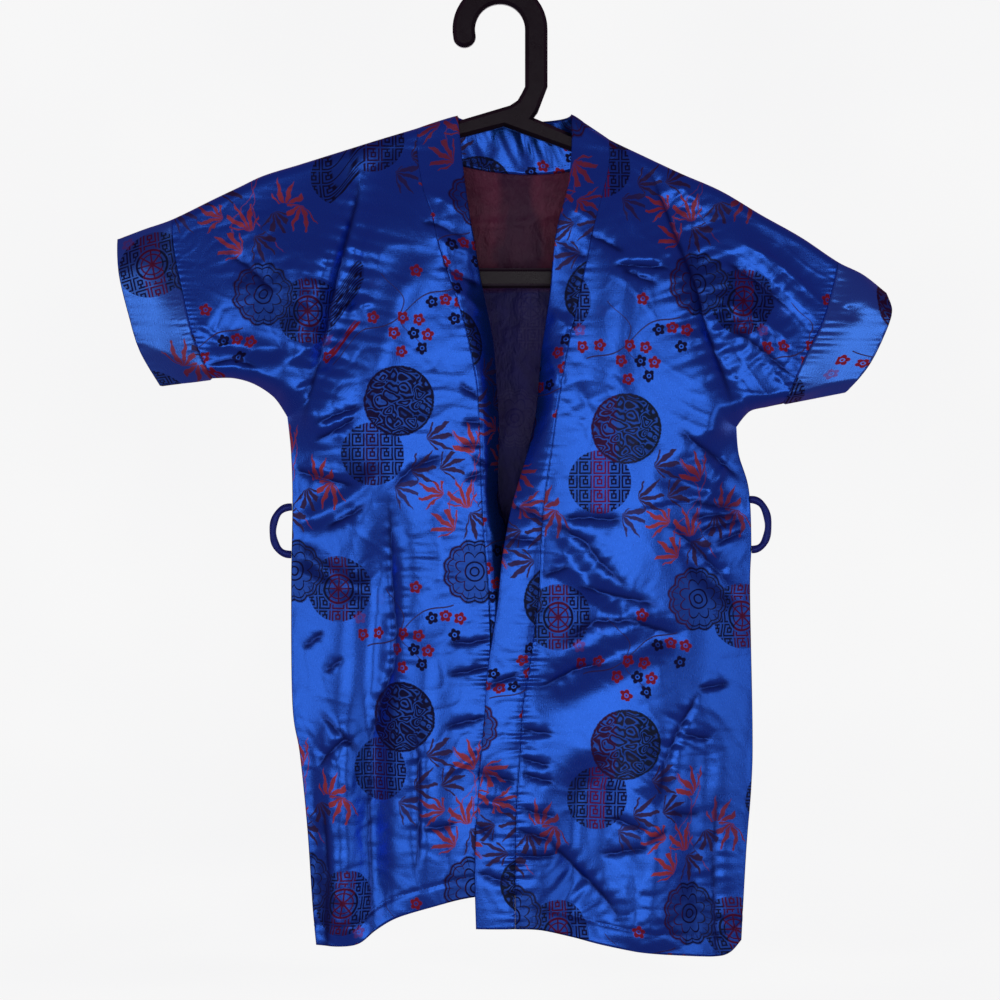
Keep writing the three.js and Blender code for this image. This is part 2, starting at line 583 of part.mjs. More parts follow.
/** A cuff: a ring that carries on from the sleeve's end and opens at its own edge. */
function cuff(half) {
  const edges = halfEdges(half);
  const seamX = half.cuffSeam[0].x;
  const edgeTop = half.cuffEdge[0];
  const edgeEnd = half.cuffEdge[half.cuffEdge.length - 1];
  const topZ = shoulderInside(edgeTop.x);
  const flat = patch({
    top: shoulderEdge(seamX, edgeTop.x),
    bottom: straight(half.cuffSeam[half.cuffSeam.length - 1], edgeEnd),
    left: edges.cuffSeam,
    right: edgeOf([{ x: edgeTop.x, z: topZ }, ...half.cuffEdge.slice(1)]),
  }, CUFF_COLUMNS, YOKE_ROWS);
  const { middle, edge } = half.cuffDepth;
  const ring = (facing, folds) => flat.map((row, i) => row.map(({ x, z }, j) => {
    const [t, v] = [CUFF_COLUMNS[j], YOKE_ROWS[i]];
    const crease = THREE.MathUtils.lerp(half.cuffCrease.seam, half.cuffCrease.edge, t);
    const narrow = soft((t - CUFF_SHAPE.narrowFrom) / (1 - CUFF_SHAPE.narrowFrom));
    const full = THREE.MathUtils.lerp(middle, edge, narrow);
    const quarter = (Math.PI / 2) * Math.min(1, v / CUFF_SHAPE.riseShare);
    const rise = Math.sin(quarter) ** CUFF_SHAPE.risePower;
    const cuffDepth = full * rise * Math.min(1, (1 - v) / (1 - crease));
    const sleeveDepth = depthAt(row[0].x, row[0].z, folds);
    const depth = THREE.MathUtils.lerp(sleeveDepth, cuffDepth, soft(t * CUFF_SHAPE.blend));
    return new THREE.Vector3(x, facing * (depth + SEAM_GAP / 2), z);
  }));
  const rows = [...ring(-1, FRONT_FOLDS), ...ring(1, BACK_FOLDS).reverse()];
  rows.forEach((row) => row[0].add(row[1].clone().sub(row[0]).setLength(SEAM_GAP)));
  return clothWall(netOf([[...rows, rows[0]]]));
}

/** A tube for the belt, sewn into the side seam at both ends. */
function beltLoop(half) {
  const { top, bottom, reach } = half.loop;
  const seamX = (z) => edgeX(half, z) + half.sign * LOOP_GAP;
  const [a, b] = [seamX(top), seamX(bottom)];
  const out = half.sign * reach;
  const path = new THREE.CatmullRomCurve3([
    new THREE.Vector3(a, 0, top),
    new THREE.Vector3(a + out * 0.5, 0, top),
    new THREE.Vector3(Math.max(a * half.sign, b * half.sign) * half.sign + out, 0, (top + bottom) / 2),
    new THREE.Vector3(b + out * 0.5, 0, bottom),
    new THREE.Vector3(b, 0, bottom),
  ]);
  const corner = (i) => {
    const angle = (2 * Math.PI * i) / LOOP_SIDES;
    return new THREE.Vector2(Math.cos(angle) * LOOP_RADIUS, Math.sin(angle) * LOOP_RADIUS);
  };
  const section = new THREE.Shape(Array.from({ length: LOOP_SIDES }, (_, i) => corner(i)));
  return new THREE.ExtrudeGeometry(section, { steps: LOOP_STEPS, extrudePath: path });
}

/** The side seam's x at a height below the underarm. */
function edgeX(half, z) {
  const turn = half.seam.findIndex((row) => row.z === half.underarm.z);
  return readTable(half.seam.slice(turn), 'z', z).x;
}

/** The top edge of a hanger's arm under the cloth. */
function armTop(x) {
  return { x, z: shoulderInside(x) - ARM_CLEAR };
}

// The hanger's outline. An arm is its top edge, from the middle to the tip.
const HANGER = {
  stemEnd: -66,
  rightFillet: { x: 30, z: -87 }, // from the stem into the right arm
  leftFillet: [{ x: 14, z: -77 }, { x: 17, z: -72 }], // from the left arm into the stem
  leftArm: [{ x: 8, z: -81 }, { x: -34, z: -93.5 }, ...[-66, -97, -128, -160, -186, -201].map(armTop)],
  leftTip: [{ x: -211, z: -156 }, { x: -213, z: -170 }, { x: -206, z: -190 }],
  rightArm: [{ x: 27, z: -91 }, { x: 57, z: -103.5 }, ...[87, 112, 144, 176, 201].map(armTop)],
  rightTip: [{ x: 210, z: -176 }, { x: 212, z: -188 }, { x: 206, z: -202 }],
  inset: 34, // from a tip's outside to the end of the bar's straight stretch
  cornerRise: 3, // the bar's corners turn up by this at half the inset
  apexUnder: { x: 3, z: -98 }, // the top of the triangle
};

/** The hook, arms and bar in one moulding. */
function hanger() {
  const centre = -HOOK_RADIUS;
  const outerRadius = HOOK_RADIUS + HOOK_WIDTH;
  const tipAngle = Math.PI + HOOK_PAST_HALF;
  const tipMiddle = HOOK_RADIUS + HOOK_WIDTH / 2;
  const barBottom = BAR_TOP - BAR_DEPTH;
  const shape = new THREE.Shape();
  shape.absarc(0, centre, outerRadius, tipAngle, 0, true);
  shape.lineTo(outerRadius, HANGER.stemEnd);
  shape.lineTo(HANGER.rightFillet.x, HANGER.rightFillet.z);
  for (const { x, z } of [...HANGER.rightArm, ...HANGER.rightTip]) shape.lineTo(x, z);
  shape.lineTo(HANGER.rightTip[2].x - HANGER.inset / 2, barBottom + HANGER.cornerRise);
  shape.lineTo(HANGER.rightTip[2].x - HANGER.inset, barBottom);
  shape.lineTo(HANGER.leftTip[2].x + HANGER.inset, barBottom);
  shape.lineTo(HANGER.leftTip[2].x + HANGER.inset / 2, barBottom + HANGER.cornerRise);
  for (const { x, z } of [...HANGER.leftTip].reverse()) shape.lineTo(x, z);
  for (const { x, z } of [...HANGER.leftArm].reverse()) shape.lineTo(x, z);
  for (const { x, z } of HANGER.leftFillet) shape.lineTo(x, z);
  shape.lineTo(HOOK_RADIUS, HANGER.stemEnd);
  shape.absarc(0, centre, HOOK_RADIUS, 0, tipAngle, false);
  shape.absarc(
    Math.cos(tipAngle) * tipMiddle,
    centre + Math.sin(tipAngle) * tipMiddle,
    HOOK_WIDTH / 2,
    tipAngle + Math.PI,
    tipAngle,
    true,
  );
  const outline = new THREE.Shape(apartPoints(shape.getPoints(HOOK_SEGMENTS)));
  outline.holes.push(hangerHole());
  const depth = 2 * (HANGER_HALF - HANGER_BEVEL);
  const geometry = new THREE.ExtrudeGeometry(outline, {
    depth,
    bevelSize: HANGER_BEVEL,
    bevelThickness: HANGER_BEVEL,
    bevelOffset: -HANGER_BEVEL,
    bevelSegments: 1,
  });
  geometry.translate(0, 0, -depth / 2);
  geometry.rotateX(Math.PI / 2);
  return geometry;
}

/** The points of an outline without those that lie on their neighbour. */
function apartPoints(points) {
  return points.filter((p, i) => p.distanceTo(points[(i + 1) % points.length]) > POINT_APART);
}

/** The triangle between the arms and the bar. */
function hangerHole() {
  const under = (rows) => rows.slice(1, -1).map(({ x, z }) => ({ x, z: z - ARM_DEPTH }));
  const inner = ([, side, low], sign) => [
    { x: side.x - sign * ARM_DEPTH, z: side.z },
    { x: low.x - sign * ARM_DEPTH * 1.5, z: BAR_TOP + HANGER.cornerRise },
    { x: low.x - sign * HANGER.inset, z: BAR_TOP },
  ];
  const points = [
    HANGER.apexUnder,
    ...under(HANGER.leftArm),
    ...inner(HANGER.leftTip, -1),
    ...inner(HANGER.rightTip, 1).reverse(),
    ...under(HANGER.rightArm).reverse(),
  ];
  return new THREE.Path(points.map(({ x, z }) => new THREE.Vector2(x, z)));
}

/** A named piece with its own finish. */
function piece(name, geometry, color, roughness, metalness) {
  const clean = geometry.clone();
  clean.deleteAttribute('normal');
  clean.deleteAttribute('uv');
  const merged = mergeVertices(clean, MERGE_WITHIN);
  merged.computeVertexNormals();
  const material = new THREE.MeshStandardMaterial({ color, roughness, metalness });
  const mesh = new THREE.Mesh(merged, material);
  mesh.name = name;
  return mesh;
}

const robe = new THREE.Group();
const frontLeft = frontPiece(LEFT, () => 0);
const frontRight = frontPiece(RIGHT, lapAt);
const back = backPiece();
robe.add(piece('front_left', frontLeft.geometry, CLOTH_BLUE, 0.35, 0.4));
robe.add(piece('front_right', frontRight.geometry, CLOTH_BLUE, 0.35, 0.4));
robe.add(piece('back', back.geometry, CLOTH_BLUE, 0.35, 0.4));
const strip = neckband(frontLeft.bandEdge, back.neckEdge, frontRight.bandEdge);
robe.add(piece('neckband', strip, BAND_BLUE, 0.35, 0.4));
robe.add(piece('cuff_left', cuff(LEFT), CLOTH_BLUE, 0.35, 0.4));
robe.add(piece('cuff_right', cuff(RIGHT), CLOTH_BLUE, 0.35, 0.4));
robe.add(piece('belt_loop_left', beltLoop(LEFT), CLOTH_BLUE, 0.4, 0.3));
robe.add(piece('belt_loop_right', beltLoop(RIGHT), CLOTH_BLUE, 0.4, 0.3));
robe.add(piece('hanger', hanger(), HANGER_BLACK, 0.35, 0));

export default robe;
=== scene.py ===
"""Looks for a child's short-sleeved kimono robe that hangs on a moulded hanger.

Sizes are in millimetres and meshes in metres. X runs to the viewer's right, the front faces -Y
and Z is up. Left and right are the viewer's. The origin is the inside top of the hanger's hook.
"""

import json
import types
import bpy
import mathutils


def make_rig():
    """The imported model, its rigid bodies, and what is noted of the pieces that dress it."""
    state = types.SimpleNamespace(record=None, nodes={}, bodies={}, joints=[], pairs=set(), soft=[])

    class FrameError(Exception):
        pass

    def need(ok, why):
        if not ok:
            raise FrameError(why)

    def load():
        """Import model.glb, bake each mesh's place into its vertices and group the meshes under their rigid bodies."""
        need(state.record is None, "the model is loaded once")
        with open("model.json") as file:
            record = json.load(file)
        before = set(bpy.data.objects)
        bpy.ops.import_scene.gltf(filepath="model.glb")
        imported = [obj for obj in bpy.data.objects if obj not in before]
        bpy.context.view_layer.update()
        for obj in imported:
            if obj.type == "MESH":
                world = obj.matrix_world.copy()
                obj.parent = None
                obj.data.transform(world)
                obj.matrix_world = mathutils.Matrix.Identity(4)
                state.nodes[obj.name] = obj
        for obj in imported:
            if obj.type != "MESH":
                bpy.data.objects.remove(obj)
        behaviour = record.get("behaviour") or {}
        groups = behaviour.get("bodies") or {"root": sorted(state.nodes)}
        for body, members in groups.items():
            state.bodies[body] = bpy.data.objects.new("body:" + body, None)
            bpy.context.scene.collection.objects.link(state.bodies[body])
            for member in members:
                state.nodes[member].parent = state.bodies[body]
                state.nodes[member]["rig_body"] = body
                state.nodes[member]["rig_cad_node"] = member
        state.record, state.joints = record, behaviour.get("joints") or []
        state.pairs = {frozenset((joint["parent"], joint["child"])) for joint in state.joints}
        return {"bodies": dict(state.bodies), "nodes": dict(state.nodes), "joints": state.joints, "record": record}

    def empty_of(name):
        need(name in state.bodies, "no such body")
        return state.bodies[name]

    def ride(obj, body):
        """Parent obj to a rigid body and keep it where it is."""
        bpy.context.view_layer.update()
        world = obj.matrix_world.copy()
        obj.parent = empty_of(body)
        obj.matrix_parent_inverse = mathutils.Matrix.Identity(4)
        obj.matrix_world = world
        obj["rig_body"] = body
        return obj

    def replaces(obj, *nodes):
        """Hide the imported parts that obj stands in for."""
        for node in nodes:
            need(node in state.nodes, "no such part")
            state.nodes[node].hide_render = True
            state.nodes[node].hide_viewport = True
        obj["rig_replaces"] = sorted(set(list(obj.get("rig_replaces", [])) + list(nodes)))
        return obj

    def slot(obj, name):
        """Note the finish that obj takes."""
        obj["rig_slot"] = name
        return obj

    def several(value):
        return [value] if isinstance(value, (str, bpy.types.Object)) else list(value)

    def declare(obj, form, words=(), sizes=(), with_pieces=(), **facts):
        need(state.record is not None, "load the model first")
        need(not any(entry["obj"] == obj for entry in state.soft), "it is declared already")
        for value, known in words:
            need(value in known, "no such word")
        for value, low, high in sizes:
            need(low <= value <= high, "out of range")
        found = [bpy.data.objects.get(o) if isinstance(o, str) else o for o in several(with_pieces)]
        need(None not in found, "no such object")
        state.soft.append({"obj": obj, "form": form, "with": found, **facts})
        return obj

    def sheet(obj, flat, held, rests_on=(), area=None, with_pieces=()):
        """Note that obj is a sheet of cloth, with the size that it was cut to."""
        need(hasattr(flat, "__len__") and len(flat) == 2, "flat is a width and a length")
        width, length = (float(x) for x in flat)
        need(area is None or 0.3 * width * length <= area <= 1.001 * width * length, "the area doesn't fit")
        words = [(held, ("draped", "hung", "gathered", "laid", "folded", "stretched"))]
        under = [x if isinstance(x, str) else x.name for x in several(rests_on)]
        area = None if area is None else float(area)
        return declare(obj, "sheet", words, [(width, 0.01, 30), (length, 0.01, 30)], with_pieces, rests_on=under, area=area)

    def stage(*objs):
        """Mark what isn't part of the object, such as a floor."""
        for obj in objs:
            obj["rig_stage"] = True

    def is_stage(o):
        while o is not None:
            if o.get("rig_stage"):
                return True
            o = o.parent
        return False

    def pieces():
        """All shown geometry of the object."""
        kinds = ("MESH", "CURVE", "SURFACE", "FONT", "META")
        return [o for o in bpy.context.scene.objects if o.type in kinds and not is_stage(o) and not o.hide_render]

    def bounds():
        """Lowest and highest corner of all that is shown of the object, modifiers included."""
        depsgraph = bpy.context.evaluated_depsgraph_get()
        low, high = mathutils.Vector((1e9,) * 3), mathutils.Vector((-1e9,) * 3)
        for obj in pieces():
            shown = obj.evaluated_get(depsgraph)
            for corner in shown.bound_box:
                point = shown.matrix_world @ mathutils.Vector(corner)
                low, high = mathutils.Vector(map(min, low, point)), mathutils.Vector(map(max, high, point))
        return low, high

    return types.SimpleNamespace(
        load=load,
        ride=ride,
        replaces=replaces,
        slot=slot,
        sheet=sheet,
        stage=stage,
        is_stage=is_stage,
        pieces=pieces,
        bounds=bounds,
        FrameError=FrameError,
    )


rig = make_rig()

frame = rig.load()

import json
import logging
import math
from dataclasses import dataclass
from enum import Enum
from typing import Callable, Sequence, Union

import bpy
import numpy as np

LOG = logging.getLogger("kimono")
MM = 0.001
Edge = Callable[[np.ndarray], np.ndarray]
Points = Sequence[tuple[float, float]]
EDGE_SAMPLES = 600
MERGE_DECIMALS = 4
CREASE_NEAR = 3.0
CREASE_ENDS = 0.35
CREASE_POWER = 1.15
# How painted shade in the creases' bottoms fades at their ends, and how far across it reaches
CREASE_SHADE_ENDS = 0.2
CREASE_SHADE_REACH = 2.4
HEM_TURN = 16.0
NECK_STITCH_DEPTH = 5.0


def soft(t: np.ndarray) -> np.ndarray:
    """A soft rise from 0 to 1 as t goes from 0 to 1."""
    held = np.clip(t, 0.0, 1.0)
    return held * held * (3.0 - 2.0 * held)


def faded(share: np.ndarray, ends: float) -> np.ndarray:
    """1 along a run's middle, with a soft fade over a share of it at each end."""
    return soft(share / ends) * soft((1 - share) / ends)


def lerp(a: np.ndarray, b: np.ndarray, t: np.ndarray) -> np.ndarray:
    """The value a share t of the way from a to b."""
    return a + (b - a) * t


class Table:
    """Rows of named values, read at any value of one column with smooth curves between."""

    def __init__(self, names: str, rows: Sequence[Sequence[float]]) -> None:
        """Keeps the rows by column.

        Args:
            names: The columns' names, with spaces between.
            rows: The values, one row after another.
        """
        self.columns = dict(zip(names.split(), np.array(rows, dtype=float).T))

    def read(self, name: str, key: str, at: np.ndarray) -> np.ndarray:
        """Reads one column.

        Args:
            name: The column to read.
            key: The column that at is a value of, which rises or falls all the way.
            at: Where to read.

        Returns:
            The column's values there.
        """
        keys, values = self.columns[key], self.columns[name]
        if keys[0] > keys[-1]:
            keys, values = keys[::-1], values[::-1]
        last = len(keys) - 1
        held = np.clip(at, keys[0], keys[-1])
        low = np.clip(np.searchsorted(keys, held) - 1, 0, last - 1)
        before = np.maximum(np.arange(last + 1) - 1, 0)
        after = np.minimum(np.arange(last + 1) + 1, last)
        slopes = (values[after] - values[before]) / (keys[after] - keys[before])
        span = keys[low + 1] - keys[low]
        t = (held - keys[low]) / span
        start = values[low] * (1 + 2 * t) * (1 - t) ** 2 + slopes[low] * span * t * (1 - t) ** 2
        end = values[low + 1] * t * t * (3 - 2 * t) - slopes[low + 1] * span * t * t * (1 - t)
        return start + end


def run_along(line: np.ndarray) -> np.ndarray:
    """The length of a line of points up to each of them."""
    return np.concatenate([[0.0], np.cumsum(np.linalg.norm(np.diff(line, axis=0), axis=1))])


def nearest(xs: np.ndarray, zs: np.ndarray, px: np.ndarray, pz: np.ndarray
            ) -> tuple[np.ndarray, np.ndarray, np.ndarray, np.ndarray]:
    """The nearest place on a line of straight stretches.

    Args:
        xs: The line's points across.
        zs: The line's points in height.
        px: Places across.
        pz: Places in height.

    Returns:
        The distances to the line, the stretches' numbers, the shares along them, and on which
        hand of the line the places lie.
    """
    best, number = np.full(px.shape, np.inf), np.zeros(px.shape, dtype=int)
    share, side = np.zeros(px.shape), np.zeros(px.shape)
    for i in range(len(xs) - 1):
        dx, dz = xs[i + 1] - xs[i], zs[i + 1] - zs[i]
        t = np.clip(((px - xs[i]) * dx + (pz - zs[i]) * dz) / (dx * dx + dz * dz), 0, 1)
        ox, oz = px - xs[i] - dx * t, pz - zs[i] - dz * t
        distance = np.hypot(ox, oz)
        closer = distance < best
        best = np.where(closer, distance, best)
        number = np.where(closer, i, number)
        share = np.where(closer, t, share)
        side = np.where(closer, dx * oz - dz * ox, side)
    return best, number, share, side


def spline_edge(rows: Points) -> Edge:
    """A smooth edge through points, read at shares of its length.

    Args:
        rows: The (x, z) points that it passes.

    Returns:
        A function from shares to (x, z) places.
    """
    points = np.array(rows, dtype=float)
    last = len(points) - 1
    u = np.linspace(0, last, EDGE_SAMPLES)
    low = np.minimum(u.astype(int), last - 1)
    t = (u - low)[:, None]
    p0, p1 = points[np.maximum(low - 1, 0)], points[low]
    p2, p3 = points[low + 1], points[np.minimum(low + 2, last)]
    m0, m1 = (p2 - p0) / 2, (p3 - p1) / 2
    place = (2 * p1 - 2 * p2 + m0 + m1) * t**3 + (3 * p2 - 3 * p1 - 2 * m0 - m1) * t**2 + m0 * t + p1
    length = run_along(place)
    share = length / length[-1]
    return lambda at: np.stack([np.interp(at, share, place[:, k]) for k in (0, 1)], axis=-1)


def straight_edge(start: tuple[float, float], end: tuple[float, float]) -> Edge:
    """A straight edge between two places."""
    return lambda at: lerp(np.array(start), np.array(end), np.asarray(at)[..., None])


def patch(top: Edge, bottom: Edge, left: Edge, right: Edge, columns: np.ndarray,
          rows: np.ndarray, low_columns: Union[np.ndarray, None] = None) -> np.ndarray:
    """A four-sided patch between edges that meet at its corners.

    Args:
        top: The edge along its top, and so on round it.
        bottom: The edge along its bottom.
        left: The edge down its left side.
        right: The edge down its right side.
        columns: Shares across at the top.
        rows: Shares down.
        low_columns: Shares across at the bottom, where they differ.

    Returns:
        An array of rows of (x, z) places.
    """
    low = columns if low_columns is None else low_columns
    v = rows[:, None]
    u = lerp(columns[None, :], low[None, :], soft(v * 1.5))
    v = np.broadcast_to(v, u.shape)
    t, b, l, r = top(u), bottom(u), left(v), right(v)
    one = np.array(1.0)
    nw, ne, sw, se = top(one * 0), top(one), bottom(one * 0), bottom(one)
    u, v = u[..., None], v[..., None]
    corners = nw * (1 - u) * (1 - v) + ne * u * (1 - v) + sw * (1 - u) * v + se * u * v
    return t * (1 - v) + b * v + l * (1 - u) + r * u - corners


@dataclass(frozen=True)
class Fold:
    """A large fold: a ridge, or a trough where its height is negative."""

    x0: float
    z0: float
    x1: float
    z1: float
    bow: float
    width: float
    height: float

    def lift(self, x: np.ndarray, z: np.ndarray) -> np.ndarray:
        """What the fold adds to the cloth's depth at places."""
        dx, dz = self.x1 - self.x0, self.z1 - self.z0
        length = math.hypot(dx, dz)
        along = ((x - self.x0) * dx + (z - self.z0) * dz) / length**2
        bow = self.bow * 4 * along * (1 - along)
        across = ((x - self.x0) * dz - (z - self.z0) * dx) / length - bow
        fade = soft(along / 0.25) * soft((1.12 - along) / 0.3)
        return self.height * fade * np.exp(-((across / self.width) ** 2))


@dataclass(frozen=True)
class Crease:
    """A crease along points, drawn downwards or to the right.

    left and right are its reach on each hand of that run, and it fades at both ends.
    """

    points: Points
    height: float
    left: float
    right: float

    def shape(self, x: np.ndarray, z: np.ndarray) -> tuple[np.ndarray, np.ndarray]:
        """The crease's form at places.

        Args:
            x: Places across.
            z: Places in height.

        Returns:
            What it adds to the cloth's depth, and how far each place lies in its bottom, which sets the painted shade
            there.
        """
        xs, zs = np.array(self.points, dtype=float).T
        reach = CREASE_NEAR * max(self.left, self.right)
        near = (x > xs.min() - reach) & (x < xs.max() + reach)
        near &= (z > zs.min() - reach) & (z < zs.max() + reach)
        best, number, t, side = nearest(xs, zs, x[near], z[near])
        starts = run_along(np.stack([xs, zs], axis=1))
        along = lerp(starts[number], starts[number + 1], t)
        share = along / starts[-1]
        fade = faded(share, CREASE_ENDS)
        uneven = 1 + 0.3 * np.sin(along * 0.24 + xs[0]) + 0.2 * np.sin(along * 0.61 + zs[0])
        hand = np.where(side > 0, self.left * uneven, self.right * (2 - uneven)) * (0.55 + 0.45 * fade)
        added, furrow = np.zeros(x.shape), np.zeros(x.shape)
        added[near] = self.height * fade * np.exp(-((best / hand) ** CREASE_POWER))
        # Painted shade: troughs also darken the cloth's colour in their bottoms, by this mask
        if self.height < 0:
            furrow[near] = faded(share, CREASE_SHADE_ENDS) * np.exp(-((best / CREASE_SHADE_REACH) ** 2))
        return added, furrow

    def lift(self, x: np.ndarray, z: np.ndarray) -> np.ndarray:
        """What the crease adds to the cloth's depth at places."""
        return self.shape(x, z)[0]

    def furrow(self, x: np.ndarray, z: np.ndarray) -> np.ndarray:
        """How far places lie in the crease's bottom, from 0 to 1, for the painted shade that darkens the colour there.
        """
        return self.shape(x, z)[1]


@dataclass(frozen=True)
class Half:
    """One half's outline: its seams, cuff, hem and band."""

    name: str
    sign: int
    armhole: tuple[float, float]
    underarm: tuple[float, float]
    seam: Table
    cuff_seam: Points
    cuff_edge: Points
    cuff_crease: tuple[float, float]
    cuff_depth: tuple[float, float]
    hem: Points
    band: Table
    loop_top: float
    loop_bottom: float
    loop_reach: float
    sleeve_shift: tuple[float, float]

    def seam_rows(self) -> list[tuple[float, float]]:
        """The side seam's points, from the cuff to the hem."""
        return list(zip(self.seam.columns["x"], self.seam.columns["z"]))

    def turn(self) -> int:
        """The row of the side seam at which the underarm becomes the side."""
        return self.seam_rows().index(self.underarm)

    def band_at(self, name: str, z: np.ndarray) -> np.ndarray:
        """One of the band's columns at heights."""
        return self.band.read(name, "z", z)

    def band_top(self, name: str) -> float:
        """One of the band's columns at its top."""
        return float(self.band.columns[name][0])

    def near_seam(self, x: np.ndarray, z: np.ndarray) -> tuple[np.ndarray, np.ndarray]:
        """The nearest place on the side seam.

        Args:
            x: Places across.
            z: Places in height.

        Returns:
            The distances to the seam, and its rolls there.
        """
        xs, zs, rolls = (self.seam.columns[name] for name in ("x", "z", "roll"))
        best, number, t, _ = nearest(xs, zs, x, z)
        return best, lerp(rolls[number], rolls[number + 1], t)


# The top line of the robe's outer face, from cuff to cuff, over the neck too
SHOULDER = Table("x z", [
    (-306, -188), (-285, -180), (-262, -172), (-227, -155), (-208, -146), (-189, -137),
    (-160, -128), (-128, -118), (-96, -108), (-66, -99), (-34, -89), (10, -86), (57, -88),
    (72, -99), (87, -108), (112, -120), (144, -135), (176, -149), (208, -168), (240, -186),
    (270, -206), (290, -216), (309, -231),
])

LEFT = Half(
    name="left", sign=-1, armhole=(-128, -118), underarm=(-170, -330),
    seam=Table("x z roll", [
        (-230, -299, 9), (-213, -299, 10), (-196, -304, 12), (-180, -315, 16), (-170, -330, 26),
        (-167, -360, 60), (-166, -400, 95), (-167, -470, 110), (-166, -560, 110),
        (-160, -600, 110), (-154, -660, 110), (-150, -720, 110), (-147, -752, 110),
    ]),
    cuff_seam=((-262, -172), (-260, -198), (-252, -234), (-244, -266), (-230, -299)),
    cuff_edge=((-306, -188), (-303, -218), (-296, -248), (-287, -278), (-272, -305)),
    cuff_crease=(0.94, 0.68), cuff_depth=(17, 15), sleeve_shift=(25, 30),
    hem=((-147, -752), (-128, -752), (-112, -749), (-98, -738), (-80, -727), (-50, -717),
         (-25, -711), (-4, -709)),
    band=Table("z seam free turn", [
        (-99, -66, -34, 0), (-120, -66, -31, 0), (-150, -61, -27, 2), (-170, -54, -24, 6),
        (-192, -49, -20, 12), (-217, -41, -16, 17), (-246, -31, -10, 21), (-273, -24, -5, 22),
        (-305, -18, -3, 22), (-341, -16, -1, 22), (-374, -15, -2, 22), (-398, -14, -1, 22),
        (-420, -13, 5, 20), (-453, -10, 12, 17), (-504, -7, 22, 10), (-556, -6, 25, 5),
        (-620, -5, 27, 3), (-709, -4, 28, 2),
    ]),
    loop_top=-402, loop_bottom=-440, loop_reach=15,
)

RIGHT = Half(
    name="right", sign=1, armhole=(144, -135), underarm=(189, -338),
    seam=Table("x z roll", [
        (226, -319, 9), (213, -322, 10), (199, -326, 14), (189, -338, 26), (191, -360, 60),
        (199, -388, 95), (201, -430, 110), (200, -470, 110), (202, -580, 110),
        (201, -625, 110), (197, -676, 110), (193, -748, 110),
    ]),
    cuff_seam=((270, -206), (264, -232), (256, -256), (242, -284), (226, -319)),
    cuff_edge=((309, -231), (312, -246), (306, -265), (294, -289), (278, -309)),
    cuff_crease=(0.94, 0.86), cuff_depth=(18, 14), sleeve_shift=(0, 0),
    hem=((193, -748), (184, -757), (172, -760), (144, -758), (112, -754), (80, -748),
         (56, -742), (32, -736), (12, -735)),
    band=Table("z seam free turn", [
        (-108, 87, 57, 0), (-128, 87, 57, 0), (-151, 82, 53, 2), (-181, 74, 45, 4),
        (-204, 69, 42, 7), (-228, 64, 40, 12), (-251, 59, 37, 16), (-278, 53, 33, 19),
        (-301, 49, 31, 21), (-325, 45, 29, 21), (-361, 40, 21, 16), (-398, 35, 10, 9),
        (-422, 33, 5, 4), (-447, 32, 1, 1), (-478, 30, -2, 0), (-531, 23, -10, 0),
        (-561, 18, -12, 0), (-598, 16, -15, 0), (-640, 13, -18, 0), (-690, 12, -20, 0),
        (-735, 12, -19, 0),
    ]),
    loop_top=-396, loop_bottom=-436, loop_reach=14,
)

BACK_HEM = ((-147, -752), (-110, -736), (-60, -718), (0, -714), (60, -722), (120, -738), (193, -748))

FRONT_FOLDS = [Fold(*row) for row in (
    (-104, -112, -158, -325, -12, 13, -7), (-128, -165, -180, -300, -8, 12, 4),
    (150, -142, 190, -322, 5, 13, -7), (176, -170, 256, -252, 4, 10, 4),
    (164, -228, 230, -292, 3, 10, 4), (-240, -262, -165, -278, 5, 9, -4),
    (-86, -375, -98, -742, 10, 16, -12), (-128, -540, -126, -752, 0, 16, 8),
    (-50, -480, -52, -720, 5, 16, 5), (-166, -418, -96, -372, 6, 9, -4),
    (-166, -430, -110, -470, 4, 9, -4), (38, -420, 98, -486, 4, 10, -5),
    (152, -498, 36, -550, 5, 13, -6), (130, -412, 190, -478, 4, 9, -4),
    (198, -416, 128, -376, 5, 9, -4), (74, -590, 62, -744, 8, 17, -8),
    (118, -610, 116, -756, -5, 17, 7), (164, -560, 160, -756, 3, 13, -5),
    (-60, -200, -98, -330, 8, 12, 4), (100, -190, 92, -330, 6, 14, 4),
)]
BACK_FOLDS = [Fold(*row) for row in (
    (-110, -118, -156, -322, -8, 14, -7), (128, -134, 182, -325, 8, 14, -7),
    (-170, -200, -236, -262, -4, 10, 4), (184, -220, 244, -272, 3, 10, 4),
    (-94, -340, -104, -730, 8, 17, -10), (-40, -430, -34, -714, -5, 16, 6),
    (24, -380, 38, -716, 6, 17, -8), (104, -420, 96, -732, -6, 17, 6),
    (152, -520, 150, -742, 4, 14, -6), (-164, -420, -100, -385, 5, 9, -4),
    (198, -416, 132, -380, 5, 9, -4), (0, -180, 4, -330, 4, 20, 4),
)]

